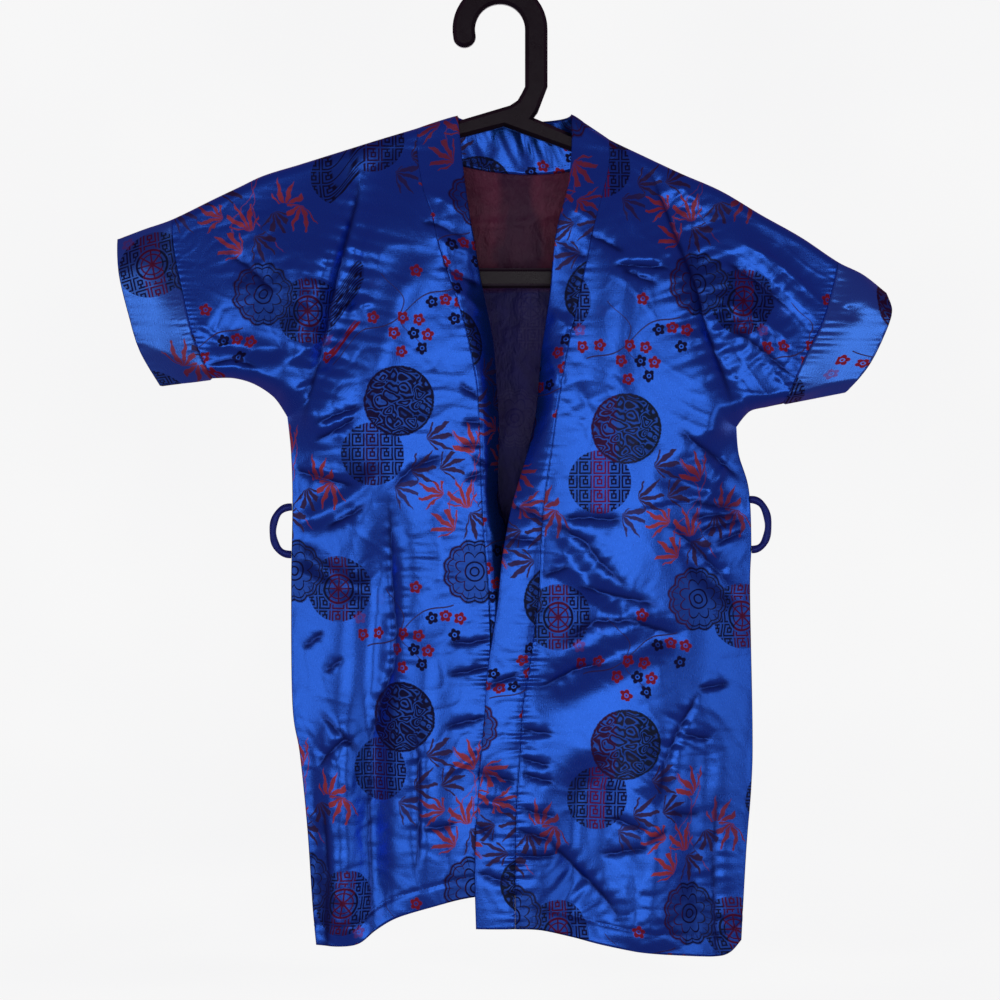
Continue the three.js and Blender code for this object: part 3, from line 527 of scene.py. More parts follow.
# Creases of the front: points, height, and reach on the left and right hand of their run
FRONT_CREASES = [Crease(*row) for row in (
    # Valleys from the shoulders to the underarms
    (((-108, -118), (-115, -160), (-125, -200), (-134, -240), (-141, -276), (-151, -311),
      (-156, -345)), -4.6, 13, 8),
    (((116, -122), (128, -156), (141, -192), (155, -227), (164, -263), (177, -299),
      (188, -334)), -4.6, 13, 9),
    # Left sleeve
    (((-141, -268), (-156, -279), (-170, -290)), 1.6, 4, 4),
    (((-146, -302), (-164, -311)), 1.5, 3, 3),
    (((-246, -252), (-228, -264), (-206, -274)), 1.8, 6, 5),
    (((-222, -196), (-196, -214), (-176, -236)), -1.5, 9, 6),
    (((-204, -160), (-186, -196), (-180, -230)), 1.5, 9, 12),
    (((-234, -290), (-214, -284), (-190, -292)), -1.6, 4, 5),
    # Left underarm and waist
    (((-148, -336), (-128, -329), (-106, -320)), -2.2, 3, 3),
    (((-148, -342), (-128, -334), (-108, -324)), 1.5, 3, 3),
    (((-148, -350), (-128, -340), (-110, -328)), -2.2, 3, 3),
    (((-166, -366), (-146, -371), (-114, -378)), 1.5, 3, 3),
    (((-168, -371), (-146, -377), (-112, -386)), -2.4, 3, 4),
    (((-140, -420), (-120, -409), (-102, -398)), -2.2, 3, 4),
    (((-158, -516), (-148, -508), (-138, -500)), -1.5, 3, 3),
    (((-140, -534), (-132, -528), (-124, -522)), -1.5, 3, 3),
    (((-122, -249), (-110, -243), (-98, -238)), 1.8, 4, 4),
    (((-90, -392), (-70, -371), (-38, -359)), -1.8, 3, 4),
    (((-164, -452), (-140, -462), (-112, -466)), 1.6, 5, 4),
    # Left front, long folds
    (((-89, -380), (-87, -415), (-85, -464), (-82, -500), (-84, -530), (-94, -556),
      (-104, -592), (-108, -620)), -3.4, 7, 3),
    (((-102, -590), (-104, -640), (-103, -690), (-102, -770)), -1.0, 5, 6),
    (((-68, -570), (-64, -600), (-64, -657), (-66, -700)), -3.0, 3, 4),
    (((-146, -562), (-128, -580), (-110, -600)), -1.6, 2.5, 2.5),
    (((-146, -610), (-126, -588), (-116, -590)), -2.4, 4, 4),
    (((-64, -657), (-48, -655), (-32, -652)), -1.8, 3, 3),
    (((-46, -577), (-28, -572), (-8, -567)), -1.8, 3, 3),
    (((-48, -614), (-30, -606), (-12, -595)), 1.8, 4, 4),
    (((-52, -400), (-46, -440), (-48, -480)), 1.6, 10, 12),
    (((-140, -630), (-136, -690), (-138, -770)), -1.6, 6, 8),
    # Left band
    (((-66, -150), (-45, -158), (-26, -168)), 1.8, 4, 5),
    (((-56, -186), (-36, -196), (-14, -206)), 1.8, 4, 5),
    (((-40, -226), (-26, -238), (-6, -252)), 1.8, 5, 6),
    (((-64, -176), (-46, -180), (-26, -190)), -1.5, 4, 4),
    (((-50, -210), (-34, -218), (-14, -228)), -1.5, 4, 4),
    (((-34, -303), (-26, -309), (-16, -316)), -1.5, 2.5, 2.5),
    (((-32, -334), (-22, -335), (-12, -337)), -1.4, 2.5, 2.5),
    (((-33, -354), (-22, -353), (-12, -355)), -1.4, 2.5, 2.5),
    (((-24, -361), (-16, -366), (-8, -370)), -1.4, 2.5, 2.5),
    (((-30, -381), (-20, -377), (-10, -371)), -1.4, 2.5, 2.5),
    (((-44, -510), (-24, -509), (-4, -506)), -1.8, 2.5, 2.5),
    (((-44, -535), (-26, -532), (-6, -528)), -1.8, 2.5, 2.5),
    # Right band
    (((45, -156), (60, -166), (78, -178)), 1.8, 5, 5),
    (((44, -192), (58, -200), (72, -206)), -1.5, 4, 4),
    (((40, -246), (50, -255), (62, -264)), 1.5, 4, 4),
    (((36, -278), (44, -292), (52, -308)), 1.4, 4, 4),
    (((8, -400), (24, -406), (38, -413)), -1.8, 3, 3),
    (((2, -426), (20, -428), (36, -431)), -1.8, 3, 3),
    (((-12, -544), (4, -538), (20, -531)), -1.8, 2.5, 2.5),
    (((-20, -612), (-2, -615), (16, -620)), -3.2, 5, 6),
    (((-20, -634), (-4, -636), (14, -639)), 2.2, 3, 3),
    (((-20, -653), (-12, -658), (-2, -665)), -1.8, 3, 3),
    (((-20, -690), (-6, -694), (10, -700)), -1.6, 3, 4),
    # Right front, above the waist
    (((88, -207), (110, -205), (134, -208)), 1.6, 4, 3),
    (((86, -211), (110, -211), (138, -214)), -2.6, 3, 3.5),
    (((94, -214), (110, -220), (126, -226)), -1.8, 3, 3),
    (((66, -184), (82, -192), (100, -202)), -1.8, 4, 4),
    (((138, -338), (162, -356), (173, -364), (194, -382)), -2.6, 3, 4),
    (((182, -362), (166, -392), (150, -409)), 2.6, 4, 4),
    (((46, -410), (74, -411), (102, -412)), -2.4, 4, 4),
    (((36, -412), (66, -428), (82, -448), (104, -469)), -2.6, 4, 5),
    (((32, -457), (44, -453), (56, -448)), -1.6, 3, 3),
    (((134, -416), (157, -436), (186, -468)), -3.2, 8, 2.5),
    (((148, -396), (170, -401), (196, -404)), -1.8, 2.5, 2.5),
    (((146, -411), (170, -409), (196, -408)), -1.8, 2.5, 2.5),
    (((154, -422), (174, -417), (196, -412)), -1.8, 2.5, 2.5),
    (((168, -433), (182, -427), (197, -419)), -1.8, 2.5, 2.5),
    (((60, -300), (72, -330), (70, -360)), 1.4, 9, 9),
    (((96, -150), (104, -172), (108, -190)), 1.4, 8, 8),
    # Right front, below the waist
    (((56, -463), (92, -472), (132, -481)), -2.4, 5, 7),
    (((42, -514), (75, -493), (105, -492), (148, -506)), -2.6, 5, 6),
    (((26, -547), (62, -529), (90, -526)), -2.4, 4, 5),
    (((14, -577), (28, -579), (44, -582)), -2.2, 2.5, 3),
    (((14, -599), (28, -603), (42, -608)), -2.2, 2.5, 3),
    (((14, -611), (30, -616), (46, -621)), -2.2, 2.5, 3),
    (((14, -639), (28, -643), (44, -648)), -2.2, 2.5, 3),
    (((10, -656), (26, -661), (42, -666)), -2.2, 2.5, 3),
    (((12, -677), (28, -678), (46, -677)), -2.0, 2.5, 3),
    (((32, -660), (62, -690), (83, -710), (100, -736)), -3.4, 4, 13),
    (((160, -544), (138, -586), (130, -608), (124, -640)), -3.8, 5, 6),
    (((144, -582), (156, -585), (170, -587)), -2.0, 3, 3),
    (((154, -546), (168, -545), (184, -543)), -2.0, 3, 3),
    (((86, -646), (102, -653), (118, -659)), -2.0, 3, 3),
    (((76, -678), (98, -674), (122, -671)), -2.0, 3, 3),
    (((133, -643), (146, -646), (160, -648)), -1.4, 5, 5),
    (((114, -670), (122, -664), (132, -657)), -1.6, 3, 3),
    (((104, -680), (108, -710), (106, -775)), 1.8, 9, 10),
    (((174, -620), (170, -680), (172, -775)), -2.0, 7, 9),
    # Right sleeve
    (((118, -128), (146, -147), (170, -174)), 2.2, 8, 8),
    (((184, -186), (218, -206), (235, -220), (262, -246)), 3.0, 5, 5),
    (((176, -206), (206, -224), (232, -246)), -2.4, 6, 7),
    (((158, -226), (190, -245), (218, -260), (244, -286)), 3.0, 9, 11),
    (((178, -256), (206, -276), (236, -300)), -2.6, 7, 8),
    (((212, -290), (224, -302), (236, -316)), 1.6, 5, 5),
)]
BACK_CREASES = [Crease(*row) for row in (
    (((-112, -124), (-124, -180), (-138, -250), (-152, -320)), -3.0, 6, 6),
    (((128, -140), (144, -190), (162, -250), (180, -318)), -3.0, 6, 6),
    (((-60, -160), (-30, -175), (20, -172), (70, -158)), -1.8, 6, 8),
    (((-90, -210), (-40, -222), (30, -216)), 1.6, 8, 9),
    (((-240, -240), (-210, -262), (-186, -276)), 1.8, 6, 6),
    (((184, -222), (214, -246), (240, -270)), 2.0, 6, 7),
    (((-160, -378), (-130, -372), (-96, -360)), -2.2, 3, 4),
    (((-158, -398), (-128, -396), (-104, -386)), -2.0, 3, 4),
    (((120, -372), (156, -380), (192, -396)), -2.2, 3, 4),
    (((124, -392), (160, -400), (196, -408)), -2.0, 3, 4),
    (((-98, -430), (-104, -520), (-100, -640), (-106, -760)), -3.2, 6, 4),
    (((-30, -470), (-26, -560), (-34, -680), (-32, -740)), 2.2, 9, 9),
    (((26, -420), (36, -520), (30, -640), (36, -750)), -3.0, 5, 8),
    (((92, -480), (100, -590), (96, -760)), 2.0, 8, 9),
    (((148, -540), (156, -640), (150, -770)), -2.4, 6, 8),
    (((-60, -520), (-40, -532), (-12, -540)), -1.8, 3, 4),
    (((50, -600), (72, -612), (98, -616)), -1.8, 3, 4),
    (((-140, -590), (-120, -604), (-98, -610)), -1.8, 3, 4),
    (((60, -300), (90, -318), (130, -322)), 1.6, 6, 6),
    (((-120, -290), (-84, -306), (-48, -306)), -1.6, 6, 6),
)]


@dataclass(frozen=True)
class Robe:
    """The robe's form as a depth on each side of its middle plane, and its flat patches."""

    wall: float = 1.4
    seam_gap: float = 0.05
    arm_roll: float = 6.6
    cuff_roll: float = 4.0
    arm_end: float = 200.0
    body_open: float = 21.0
    sleeve_open: float = 8.0
    body_half: float = 150.0
    sleeve_start: float = 215.0
    open_drop: float = 95.0
    lap: float = 5.0
    lap_edge: float = 62.0
    lap_fade: float = 50.0
    middle: float = 10.0
    fold_clear: float = 14.0
    crease_clear: float = 5.0
    crease_share: float = 0.55
    crease_depth: float = 1.2
    step: float = 1.75
    back_step: float = 3.0
    roll_share: float = 0.0315
    yoke_run: float = 205.0
    skirt_run: float = 400.0
    sleeve_run: float = 130.0
    front_run: float = 170.0
    shoulder_run: float = 62.0

    def top(self, x: np.ndarray) -> np.ndarray:
        """The height of the robe's inside under its top line."""
        return SHOULDER.read("z", "x", x) - self.wall

    def roll(self, x: np.ndarray) -> np.ndarray:
        """The inside radius of the cloth where it folds over at the top."""
        past = (np.abs(x) - self.arm_end) / (abs(SHOULDER.columns["x"][0]) - self.arm_end)
        return lerp(self.arm_roll, self.cuff_roll, soft(past))

    def depth(self, x: np.ndarray, z: np.ndarray, folds: list[Fold],
              creases: list[Crease]) -> np.ndarray:
        """How far the inside of the cloth lies from the middle plane.

        Args:
            x: Places across.
            z: Places in height.
            folds: The large folds of that side.
            creases: Its creases.

        Returns:
            The depths.
        """
        roll = self.roll(x)
        drop = np.maximum(0.0, self.top(x) - z)
        over = np.clip(roll - drop, 0.0, None)
        round_ = np.sqrt(np.clip(roll**2 - over**2, 0.0, None))
        apart = soft((np.abs(x - self.middle) - self.body_half) / (self.sleeve_start - self.body_half))
        opened = lerp(self.body_open, self.sleeve_open, apart) * soft(drop / self.open_drop)
        left, left_roll = LEFT.near_seam(x, z)
        right, right_roll = RIGHT.near_seam(x, z)
        distance = np.where(x < self.middle, left, right)
        seam_roll = np.where(x < self.middle, left_roll, right_roll)
        side = np.sin(np.pi / 2 * np.minimum(1.0, distance / seam_roll))
        clear = soft(distance / self.fold_clear) * soft((drop - roll) / self.fold_clear)
        fine = soft(distance / self.crease_clear) * soft((drop - roll * 0.5) / self.fold_clear)
        large = (round_ + opened) * side + sum(fold.lift(x, z) for fold in folds) * clear
        small = sum(crease.lift(x, z) for crease in creases) * self.crease_depth
        small = small + unevenness(x, z) + rumple(x, z)
        return large + np.maximum(small * fine, -self.crease_share * np.maximum(0, large))

    def lap_at(self, x: np.ndarray) -> np.ndarray:
        """What the right front adds so that it lies over the left one."""
        return self.lap * soft((self.lap_edge - x) / self.lap_fade)

    def top_edge(self, start: float, end: float) -> Edge:
        """The top line between two places, as an edge of the cloth's inside."""
        def edge(share: np.ndarray) -> np.ndarray:
            x = lerp(start, end, np.asarray(share))
            return np.stack([x, self.top(x)], axis=-1)
        return edge

    def yoke_rows(self, step: float) -> np.ndarray:
        """Shares down a yoke: by angle over the roll, then even."""
        roll = self.roll_share * (1 - np.cos(np.radians(np.arange(0, 91, 15))))
        return np.concatenate([roll, np.linspace(roll[-1], 1, round(self.yoke_run / step))[1:]])

    def skirt_rows(self, step: float) -> np.ndarray:
        """Even shares down a skirt."""
        return np.linspace(0, 1, round(self.skirt_run / step) + 1)

    def half_edges(self, half: Half) -> dict[str, Edge]:
        """A half's armhole line, underarm, side and cuff seams, from the top down."""
        rows = half.seam_rows()
        turn = half.turn()
        arm_top = (half.armhole[0], float(self.top(np.array(half.armhole[0]))))
        cuff_top = (half.cuff_seam[0][0], float(self.top(np.array(half.cuff_seam[0][0]))))
        return {
            "armhole": straight_edge(arm_top, half.underarm),
            "underarm": spline_edge(rows[:turn + 1]),
            "side": spline_edge(rows[turn:]),
            "cuff_seam": spline_edge([cuff_top, *half.cuff_seam[1:]]),
        }

    def sleeve(self, half: Half, step: float) -> np.ndarray:
        """The flat places of a half's sleeve, from its cuff seam to the armhole line."""
        edges = self.half_edges(half)
        return patch(self.top_edge(half.cuff_seam[0][0], half.armhole[0]), edges["underarm"],
                     edges["cuff_seam"], edges["armhole"],
                     np.linspace(0, 1, round(self.sleeve_run / step) + 1), self.yoke_rows(step))


# Waves: turns across and in height, phase and size
WAVES = (
    (0.09, 0.05, 0.0, 0.16), (-0.05, 0.10, 1.7, 0.15), (0.17, -0.04, 4.1, 0.07),
    (0.03, 0.20, 2.2, 0.06), (-0.15, 0.17, 0.6, 0.04), (0.33, 0.11, 3.3, 0.02),
)
# Crinkles: turns across and in height, phase, height, and the turns of the patches they lie in
RUMPLES = (
    (0.050, 0.125, 0.4, 0.34, 0.021, 0.013), (-0.085, 0.105, 2.1, -0.30, -0.014, 0.019),
    (0.120, 0.045, 4.4, 0.26, 0.017, -0.022), (0.015, -0.165, 1.2, -0.24, 0.026, 0.008),
    (0.100, 0.120, 5.3, 0.20, -0.019, -0.015), (-0.145, 0.060, 3.0, 0.18, 0.011, 0.027),
)


def unevenness(x: np.ndarray, z: np.ndarray) -> np.ndarray:
    """The cloth's mild waviness between its creases."""
    bend = np.sin(x * 0.031 + 1.3) + np.sin(z * 0.027)
    return sum(size * np.sin(a * x + b * z + phase + bend) for a, b, phase, size in WAVES)


def rumple(x: np.ndarray, z: np.ndarray) -> np.ndarray:
    """Short soft crinkles in patches, as satin keeps after it was folded away."""
    total = np.zeros(x.shape)
    for a, b, phase, height, c, d in RUMPLES:
        warp = 1.9 * np.sin(z * 0.043 + phase * 3) + 1.5 * np.sin(x * 0.052 - phase) \
            + 0.7 * np.sin(x * 0.11 + z * 0.13 + phase)
        line = np.exp(-((np.sin(a * x + b * z + phase + warp) / 0.34) ** 2))
        patch_at = np.sin(c * x + d * z + phase * 2.7) + 0.8 * np.sin(d * 1.9 * x - c * 2.3 * z + phase)
        total = total + height * line * soft((patch_at + 0.15) / 1.1)
    return total


@dataclass(frozen=True)
class Puckers:
    """Small gathers beside a seam, uneven in spacing and strength.

    spacing is the mean distance from one to the next, and reach how far they run into the cloth.
    """

    spacing: float
    reach: float
    height: float

    def lift(self, along: np.ndarray, distance: np.ndarray) -> np.ndarray:
        """What they add to the depth, by places along the seam and distances from it."""
        drift = 1.6 * np.sin(along * 0.13) + 1.1 * np.sin(along * 0.31 + 2)
        strength = 0.55 + 0.45 * np.sin(along * 0.081 + 0.7) * np.sin(along * 0.037 + 2.1)
        wave = np.sin(2 * np.pi * along / self.spacing + drift)
        return self.height * strength * wave * np.exp(-distance / self.reach)


NARROW_BAND_PUCKERS = Puckers(5.6, 6.0, 0.8)
WIDE_BAND_PUCKERS = Puckers(11.5, 13.0, 0.55)
SLEEVE_END_PUCKERS = Puckers(4.2, 5.0, 0.5)
HEM_PUCKERS = Puckers(7.5, 5.0, 0.28)
CUFF_SEAM_PUCKERS = Puckers(4.6, 7.0, 0.9)
CUFF_EDGE_PUCKERS = Puckers(8.5, 9.0, 0.35)


def band_gathers(z: np.ndarray, seam: np.ndarray) -> np.ndarray:
    """Small and wide gathers beside the band's seam, stronger towards the hem.

    Args:
        z: Places in height.
        seam: Distances from the seam.

    Returns:
        What they add to the depth.
    """
    strength = soft((-440 - z) / 60) * 0.9 + 0.35
    return strength * (NARROW_BAND_PUCKERS.lift(z, seam) + WIDE_BAND_PUCKERS.lift(z + 5, seam))


def draped(flat: np.ndarray, depth: np.ndarray, facing: int) -> np.ndarray:
    """Flat places laid at their depths, with facing -1 at the front and 1 at the back."""
    return np.stack([flat[..., 0], facing * depth, flat[..., 1]], axis=-1)


def eased(rows: np.ndarray, gap: float) -> np.ndarray:
    """Rows whose first column, sewn to another piece, is moved aside by the seam's gap."""
    aside = rows[:, 1] - rows[:, 0]
    rows[:, 0] += aside / np.linalg.norm(aside, axis=1)[:, None] * gap
    return rows


@dataclass
class Grid:
    """One grid of cloth: its inside points, and where each lies in the flat cut."""

    places: np.ndarray
    flat: np.ndarray


def outward(points: np.ndarray, robe: Robe) -> np.ndarray:
    """The directions in which a wall's outer face lies at its edges."""
    core = robe.top(points[:, 0]) - robe.roll(points[:, 0])
    away = np.stack([np.zeros(len(points)), points[:, 1], np.maximum(0, points[:, 2] - core)], axis=1)
    return away / np.maximum(1e-9, np.linalg.norm(away, axis=1))[:, None]


class Shell:
    """A thin closed cloth shell on grids that share their edges."""

    def __init__(self, name: str, grids: list[Grid], robe: Robe, inside: float,
                 outside: float) -> None:
        """Builds the shell's object.

        Args:
            name: The piece's name.
            grids: Its grids, in the order in which they share edges.
            robe: The robe's form.
            inside: How far its wrong side lies from the grids, outwards.
            outside: The same of its right side.
        """
        points = np.concatenate([grid.places.reshape(-1, 3) for grid in grids])
        keys = np.round(points, MERGE_DECIMALS)
        _, first, known = np.unique(keys, axis=0, return_index=True, return_inverse=True)
        known = known.reshape(-1)
        points = points[first]
        quads, corners, start = [], [], 0
        for grid in grids:
            rows, columns = grid.places.shape[:2]
            at = known[start:start + rows * columns].reshape(rows, columns)
            start += rows * columns
            quads.append(ring_of(at).reshape(-1, 4))
            corners.append(ring_of(grid.flat).reshape(-1, 4, 2))
        quads, corners = np.concatenate(quads), np.concatenate(corners)
        normals = mean_normals(points, quads)
        if np.sum(normals * outward(points, robe)) < 0:
            quads, corners = quads[:, ::-1], corners[:, ::-1]
            normals = -normals
        rim = open_edges(quads, len(points))
        edge = np.unique(rim)
        out = outward(points[edge], robe)
        share = np.maximum(0.6, np.sum(out * normals[edge], axis=1))
        towards = normals.copy()
        towards[edge] = out / share[:, None]
        self.outer = points + towards * outside
        self.grids = grids
        self.known = known
        deep = np.full(len(points), inside)
        deep[edge] = 0.0
        inner = points + towards * deep[:, None]
        count = len(points)
        hem = np.stack([rim[:, 0], rim[:, 1], rim[:, 1] + count, rim[:, 0] + count], axis=1)
        faces = np.concatenate([quads + count, quads[:, ::-1], hem])
        flat = np.concatenate([corners, corners[:, ::-1], rim_corners(rim, quads, corners)])
        slots = np.concatenate([np.zeros(len(quads)), np.ones(len(quads)), np.zeros(len(hem))])
        self.piece = mesh_piece(name, np.concatenate([inner, self.outer]), faces, flat, slots)
        # The right side carries painted shade in the creases' bottoms, as a point attribute that darkens the satin's
        # colour
        layer = self.piece.data.attributes.new("furrow", "FLOAT", "POINT")
        layer.data.foreach_set("value", np.concatenate([np.zeros(count), crease_shades(points)]))

    def outer_grid(self, number: int) -> np.ndarray:
        """The right side's points over one grid, in its rows and columns."""
        start = sum(grid.places.shape[0] * grid.places.shape[1] for grid in self.grids[:number])
        rows, columns = self.grids[number].places.shape[:2]
        at = self.known[start:start + rows * columns]
        return self.outer[at].reshape(rows, columns, 3)

    def cloth_area(self) -> float:
        """The area of the cloth in the piece, laid flat, in square metres."""
        total = 0.0
        for grid in self.grids:
            p = grid.places
            across = np.cross(p[1:, 1:] - p[:-1, :-1], p[:-1, 1:] - p[1:, :-1])
            total += float(np.linalg.norm(across, axis=-1).sum()) / 2
        return total * MM * MM


def crease_shades(points: np.ndarray) -> np.ndarray:
    """How far points lie in the bottoms of their own side's creases, from 0 to 1, for the painted shade there."""
    x, z = points[:, 0], points[:, 2]
    front, back = (np.clip(sum(crease.furrow(x, z) for crease in creases), 0, 1)
                   for creases in (FRONT_CREASES, BACK_CREASES))
    return np.where(points[:, 1] < 0, front, back)


def ring_of(at: np.ndarray) -> np.ndarray:
    """The four corners of each cell of a grid."""
    return np.stack([at[:-1, :-1], at[:-1, 1:], at[1:, 1:], at[1:, :-1]], axis=2)


def mean_normals(points: np.ndarray, quads: np.ndarray) -> np.ndarray:
    """The mean normal at each point of a net of quads."""
    p = points[quads]
    across = np.cross(p[:, 2] - p[:, 0], p[:, 3] - p[:, 1])
    normals = np.zeros(points.shape)
    for k in range(4):
        np.add.at(normals, quads[:, k], across)
    return normals / np.maximum(1e-12, np.linalg.norm(normals, axis=1))[:, None]


def open_edges(quads: np.ndarray, count: int) -> np.ndarray:
    """The directed edges that only one quad has."""
    edges = np.concatenate([quads[:, [k, (k + 1) % 4]] for k in range(4)])
    edges = edges[edges[:, 0] != edges[:, 1]]
    code = edges[:, 0] * count + edges[:, 1]
    back = edges[:, 1] * count + edges[:, 0]
    return edges[~np.isin(code, back)]


def rim_corners(rim: np.ndarray, quads: np.ndarray, corners: np.ndarray) -> np.ndarray:
    """The flat places of the rim's faces, taken from the cloth beside them."""
    flat = np.zeros((quads.max() + 1, 2))
    flat[quads.reshape(-1)] = corners.reshape(-1, 2)
    a, b = flat[rim[:, 0]], flat[rim[:, 1]]
    return np.stack([a, b, b, a], axis=1)


def mesh_piece(name: str, places: np.ndarray, faces: np.ndarray, flat: np.ndarray,
               slots: np.ndarray) -> bpy.types.Object:
    """Makes a smooth mesh object of quads.

    Args:
        name: The object's name.
        places: Its points, in millimetres.
        faces: Four point numbers a face. A face that has collapsed to a line is left out.
        flat: Four flat places a face, for its texture coordinates, in millimetres.
        slots: The material slot of each face.

    Returns:
        The object, linked to the scene.
    """
    ordered = np.sort(faces, axis=1)
    same = (ordered[:, 1:] == ordered[:, :-1]).sum(axis=1)
    loops, maps, kept = [], [], []
    for face, corners, slot, twice in zip(faces.tolist(), flat.tolist(), slots.tolist(), same.tolist()):
        if twice == 0:
            loops.append(face)
            maps.extend(corners)
            kept.append(slot)
        elif twice == 1:
            pairs = [(v, c) for i, (v, c) in enumerate(zip(face, corners)) if v != face[i - 1]]
            if len(pairs) == 3:
                loops.append([v for v, _ in pairs])
                maps.extend(c for _, c in pairs)
                kept.append(slot)
    mesh = bpy.data.meshes.new(name)
    mesh.from_pydata((places * MM).tolist(), [], loops)
    layer = mesh.uv_layers.new(name="flat")
    layer.data.foreach_set("uv", (np.array(maps) * MM).reshape(-1))
    mesh.polygons.foreach_set("material_index", np.array(kept, dtype=np.int32))
    mesh.polygons.foreach_set("use_smooth", np.ones(len(loops), dtype=bool))
    mesh.update()
    piece = bpy.data.objects.new(name, mesh)
    bpy.context.scene.collection.objects.link(piece)
    return piece


def stretched_flat(places: np.ndarray, held_column: int) -> np.ndarray:
    """Flat places of a grid whose widths are measured along the cloth, over its folds.

    Args:
        places: The grid's points.
        held_column: The column that keeps its own x.

    Returns:
        An array of (x, z) places.
    """
    step = np.hypot(np.diff(places[..., 0], axis=1), np.diff(places[..., 1], axis=1))
    along = np.concatenate([np.zeros((len(places), 1)), np.cumsum(step, axis=1)], axis=1)
    run = np.sign(places[0, -1, 0] - places[0, 0, 0])
    x = places[:, held_column, 0][:, None] + run * (along - along[:, held_column][:, None])
    return np.stack([x, places[..., 2]], axis=-1)


def hem_relief(z: np.ndarray, edge_z: np.ndarray) -> np.ndarray:
    """The turned hem: a fuller strip, with a dip at its stitch line."""
    up = z - edge_z - HEM_TURN
    return 0.3 * soft(-up / 2.0) - 0.6 * np.exp(-((up / 1.8) ** 2))


@dataclass
class Front:
    """One front with its sleeve, from the band's seam to the side and cuff seams."""

    half: Half
    robe: Robe
    lapped: bool
    sleeve_from: float = 106.0
    sleeve_fade: float = 32.0
    sleeve_low: float = -345.0
    sleeve_rise: float = 40.0

    def drape(self, flat: np.ndarray, hem_z: Union[np.ndarray, None]) -> np.ndarray:
        """Lays flat places at the front's depth.

        Args:
            flat: Rows of (x, z) places.
            hem_z: The hem's height under each column, for the grid that ends there.

        Returns:
            Rows of inside points.
        """
        x, z = flat[..., 0], flat[..., 1]
        depth = self.robe.depth(x, z, FRONT_FOLDS, FRONT_CREASES) + self.robe.seam_gap / 2
        if self.lapped:
            depth = depth + self.robe.lap_at(x)
        depth = depth + band_gathers(z, np.abs(x - self.half.band_at("seam", z)))
        depth = depth + SLEEVE_END_PUCKERS.lift(z, self.cuff_distance(x, z))
        if hem_z is not None:
            depth = depth + hem_relief(z, hem_z)
            depth = depth + HEM_PUCKERS.lift(x, np.abs(z - hem_z - HEM_TURN))
        return draped(flat, depth, -1)

    def cuff_distance(self, x: np.ndarray, z: np.ndarray) -> np.ndarray:
        """How far places lie from the cuff's seam, across."""
        xs, zs = np.array(self.half.cuff_seam, dtype=float).T
        seam = np.interp(z, zs[::-1], xs[::-1])
        return np.abs(x - seam)

    def build(self) -> tuple[Shell, np.ndarray]:
        """Builds the front.

        Returns:
            Its shell, and the row of points along the band's seam.
        """
        robe, half = self.robe, self.half
        edges = robe.half_edges(half)
        neck_x = half.band_top("seam")
        neck_z = float(robe.top(np.array(neck_x)))
        middle_z = half.underarm[1]
        hem_z = half.hem[-1][1]
        rows = robe.yoke_rows(robe.step)
        columns = np.linspace(0, 1, round(robe.front_run / robe.step) + 1)
        across = straight_edge(half.underarm, (float(half.band_at("seam", middle_z)), middle_z))
        yoke = patch(robe.top_edge(half.armhole[0], neck_x), across, edges["armhole"],
                     self.band_seam(neck_z, middle_z), columns, rows)
        skirt = patch(across, spline_edge(half.hem), edges["side"],
                      self.band_seam(middle_z, hem_z), columns, robe.skirt_rows(robe.step))
        upper = self.drape(np.concatenate([robe.sleeve(half, robe.step)[:, :-1], yoke], axis=1), None)
        lower = self.drape(skirt, skirt[-1:, :, 1])
        grids = [Grid(places, stretched_flat(places, -1)) for places in (upper, lower)]
        out = soft((np.abs(upper[..., 0]) - self.sleeve_from) / self.sleeve_fade)
        out = out * soft((upper[..., 2] - self.sleeve_low) / self.sleeve_rise)
        grids[0].flat[..., :2] += out[..., None] * np.array(half.sleeve_shift)
        shell = Shell(f"brocade_front_{half.name}", grids, robe, 0.5, robe.wall)
        edge = np.concatenate([upper[:, -1], lower[1:, -1]])
        return shell, edge

    def band_seam(self, start_z: float, end_z: float) -> Edge:
        """The band's seam as an edge between two heights."""
        def edge(share: np.ndarray) -> np.ndarray:
            z = lerp(start_z, end_z, np.asarray(share))
            return np.stack([self.half.band_at("seam", z), z], axis=-1)
        return edge


